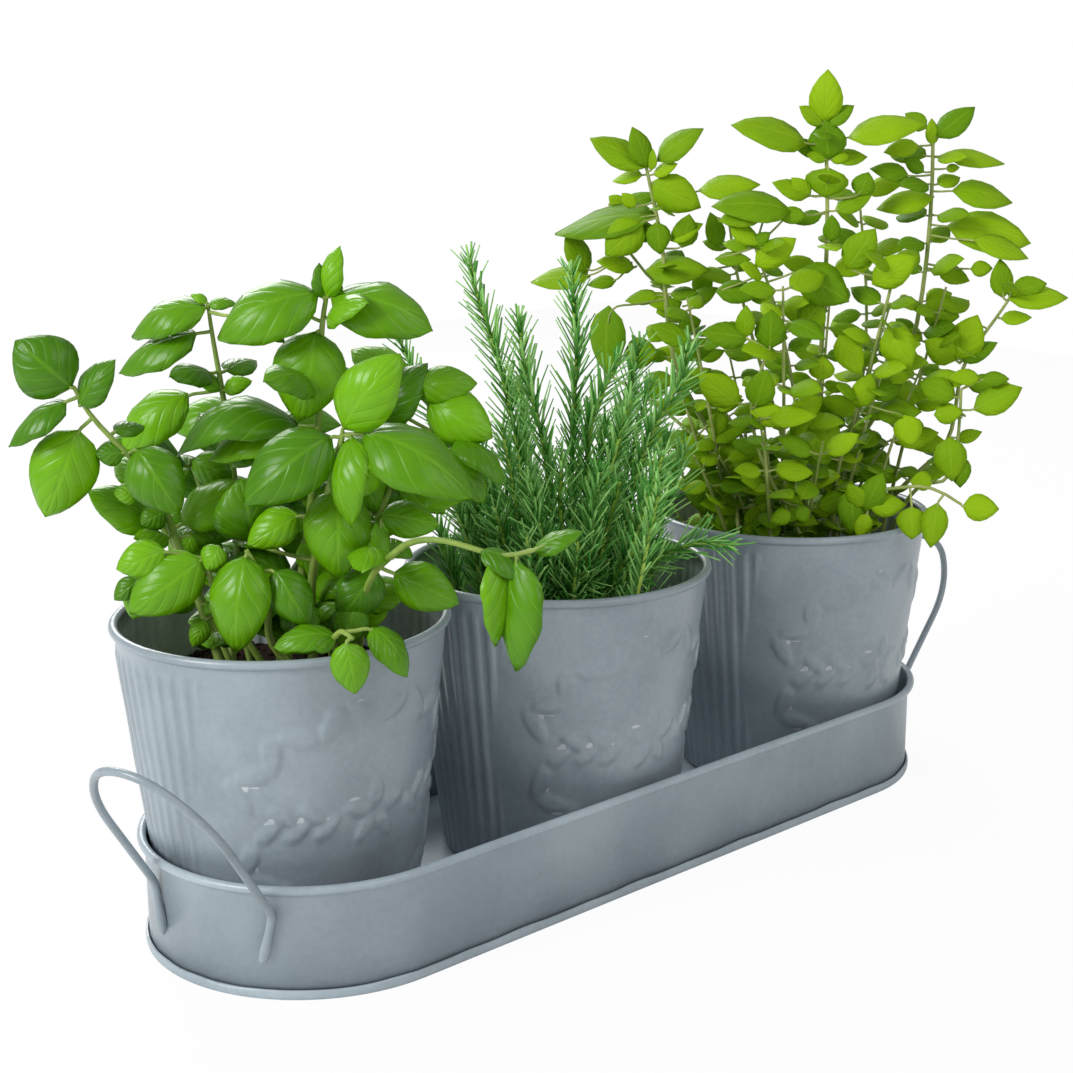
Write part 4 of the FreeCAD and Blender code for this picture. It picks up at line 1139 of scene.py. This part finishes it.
def growRosemary():
    herb = Herb("middle", rosemaryView, 31)
    r, chance, long = rosemaryFill, herb.chance, needleForm["long"]
    for pixels, first in rosemaryStems:
        spots = herb.stem(pixels, *r["radii"], (chance.uniform(0, 360), chance.uniform(*r["stemReach"])))
        needlesAlong(herb, spots, first, long)
    for i in range(r["sprigs"]):
        turn = r["apart"] * i + chance.uniform(-r["spread"], r["spread"])
        reach = chance.uniform(*r["reach"])
        foot = herb.around(turn, reach, herb.soil - r["rooted"])
        high = chance.uniform(*r["high"]) * (r["highFall"][0] - reach * r["highFall"][1])
        lean = chance.uniform(*r["lean"])
        top = foot + Vector((math.cos(turn) * high * lean, math.sin(turn) * high * lean, max(high, r["least"])))
        top.x = max(herb.low + r["fenceRoom"], min(herb.high - r["fenceRoom"], top.x))
        spots = herb.sprig(foot, top, high * r["rise"], [r["radius"]] * 3)
        needlesAlong(herb, spots, r["first"], long * r["long"], r["dense"])
    herb.finish("rosemaryPlant", "rosemary_plant", [needleStuff, rosemaryStem])


growRosemary()
print("planter: herbs ready")

studio = {
    "floor": 0.9, "floorSize": 1.4, "floorGlow": 0.94, "world": 0.41, "aim": (0, 0, 0.1),
    "lamps": (
        ("keyLamp", (-1.9, 0.1, 1.2), 0.9, 30.0), ("fillLamp", (0.1, -1.2, 0.9), 1.0, 4.2),
        ("backLamp", (0.4, 1.2, 0.9), 0.8, 11.0),
    ),
}
white = (1.0, 1.0, 1.0, 1.0)


def makeStage():
    # the floor and the world look white to the camera, and light the planter less than that
    material, maker, shader = newMaterial("studioFloor", {
        "Base Color": (studio["floor"],) * 3 + (1.0,), "Roughness": 1.0, "Specular IOR Level": 0.0,
    })
    glow = maker.node("ShaderNodeEmission", None, {"Color": white, "Strength": 1.0})
    seen = maker.node("ShaderNodeLightPath") * studio["floorGlow"]
    mix = maker.node("ShaderNodeMixShader", None, {0: seen, 1: Socket(maker.tree, shader.outputs[0]), 2: glow})
    mix.into(ofType(maker.tree, "OUTPUT_MATERIAL"), "Surface")
    bm = bmesh.new()
    bmesh.ops.create_grid(bm, x_segments=1, y_segments=1, size=studio["floorSize"])
    floor = addObject("studioFloor", meshOf(bm, "studioFloor"))
    floor.data.materials.append(material)
    world = bpy.data.worlds.new("studio")
    bpy.context.scene.world = world
    world.use_nodes = True
    background = ofType(world.node_tree, "BACKGROUND")
    background.inputs["Color"].default_value = white
    strength = Socket(world.node_tree).node("ShaderNodeLightPath") * (1.0 - studio["world"]) + studio["world"]
    strength.into(background, "Strength")


def areaLamp(name, place, size, power):
    lamp = bpy.data.lights.new(name, "AREA")
    lamp.shape = "DISK"
    lamp.size = size
    lamp.energy = power
    holder = addObject(name, lamp)
    holder.location = place
    holder.rotation_euler = (Vector(studio["aim"]) - Vector(place)).to_track_quat("-Z", "Y").to_euler()


def makeCamera():
    data = bpy.data.cameras.new("photoCamera")
    size = view["imageSize"]
    data.sensor_width = view["sensor"]
    data.lens = view["focalPixels"] / size * view["sensor"]
    data.shift_x = (size / 2 - view["centre"][0]) / size
    data.shift_y = (view["centre"][1] - size / 2) / size
    data.clip_start = 0.01
    holder = addObject("photoCamera", data)
    turned = Matrix((view["right"], view["up"], view["back"])).transposed().to_4x4()
    holder.matrix_world = Matrix.Translation(view["place"]) @ turned
    bpy.context.scene.camera = holder


makeStage()
for lamp in studio["lamps"]:
    areaLamp(*lamp)
makeCamera()
bpy.context.scene.view_settings.view_transform = "Standard"
print("planter: studio ready")
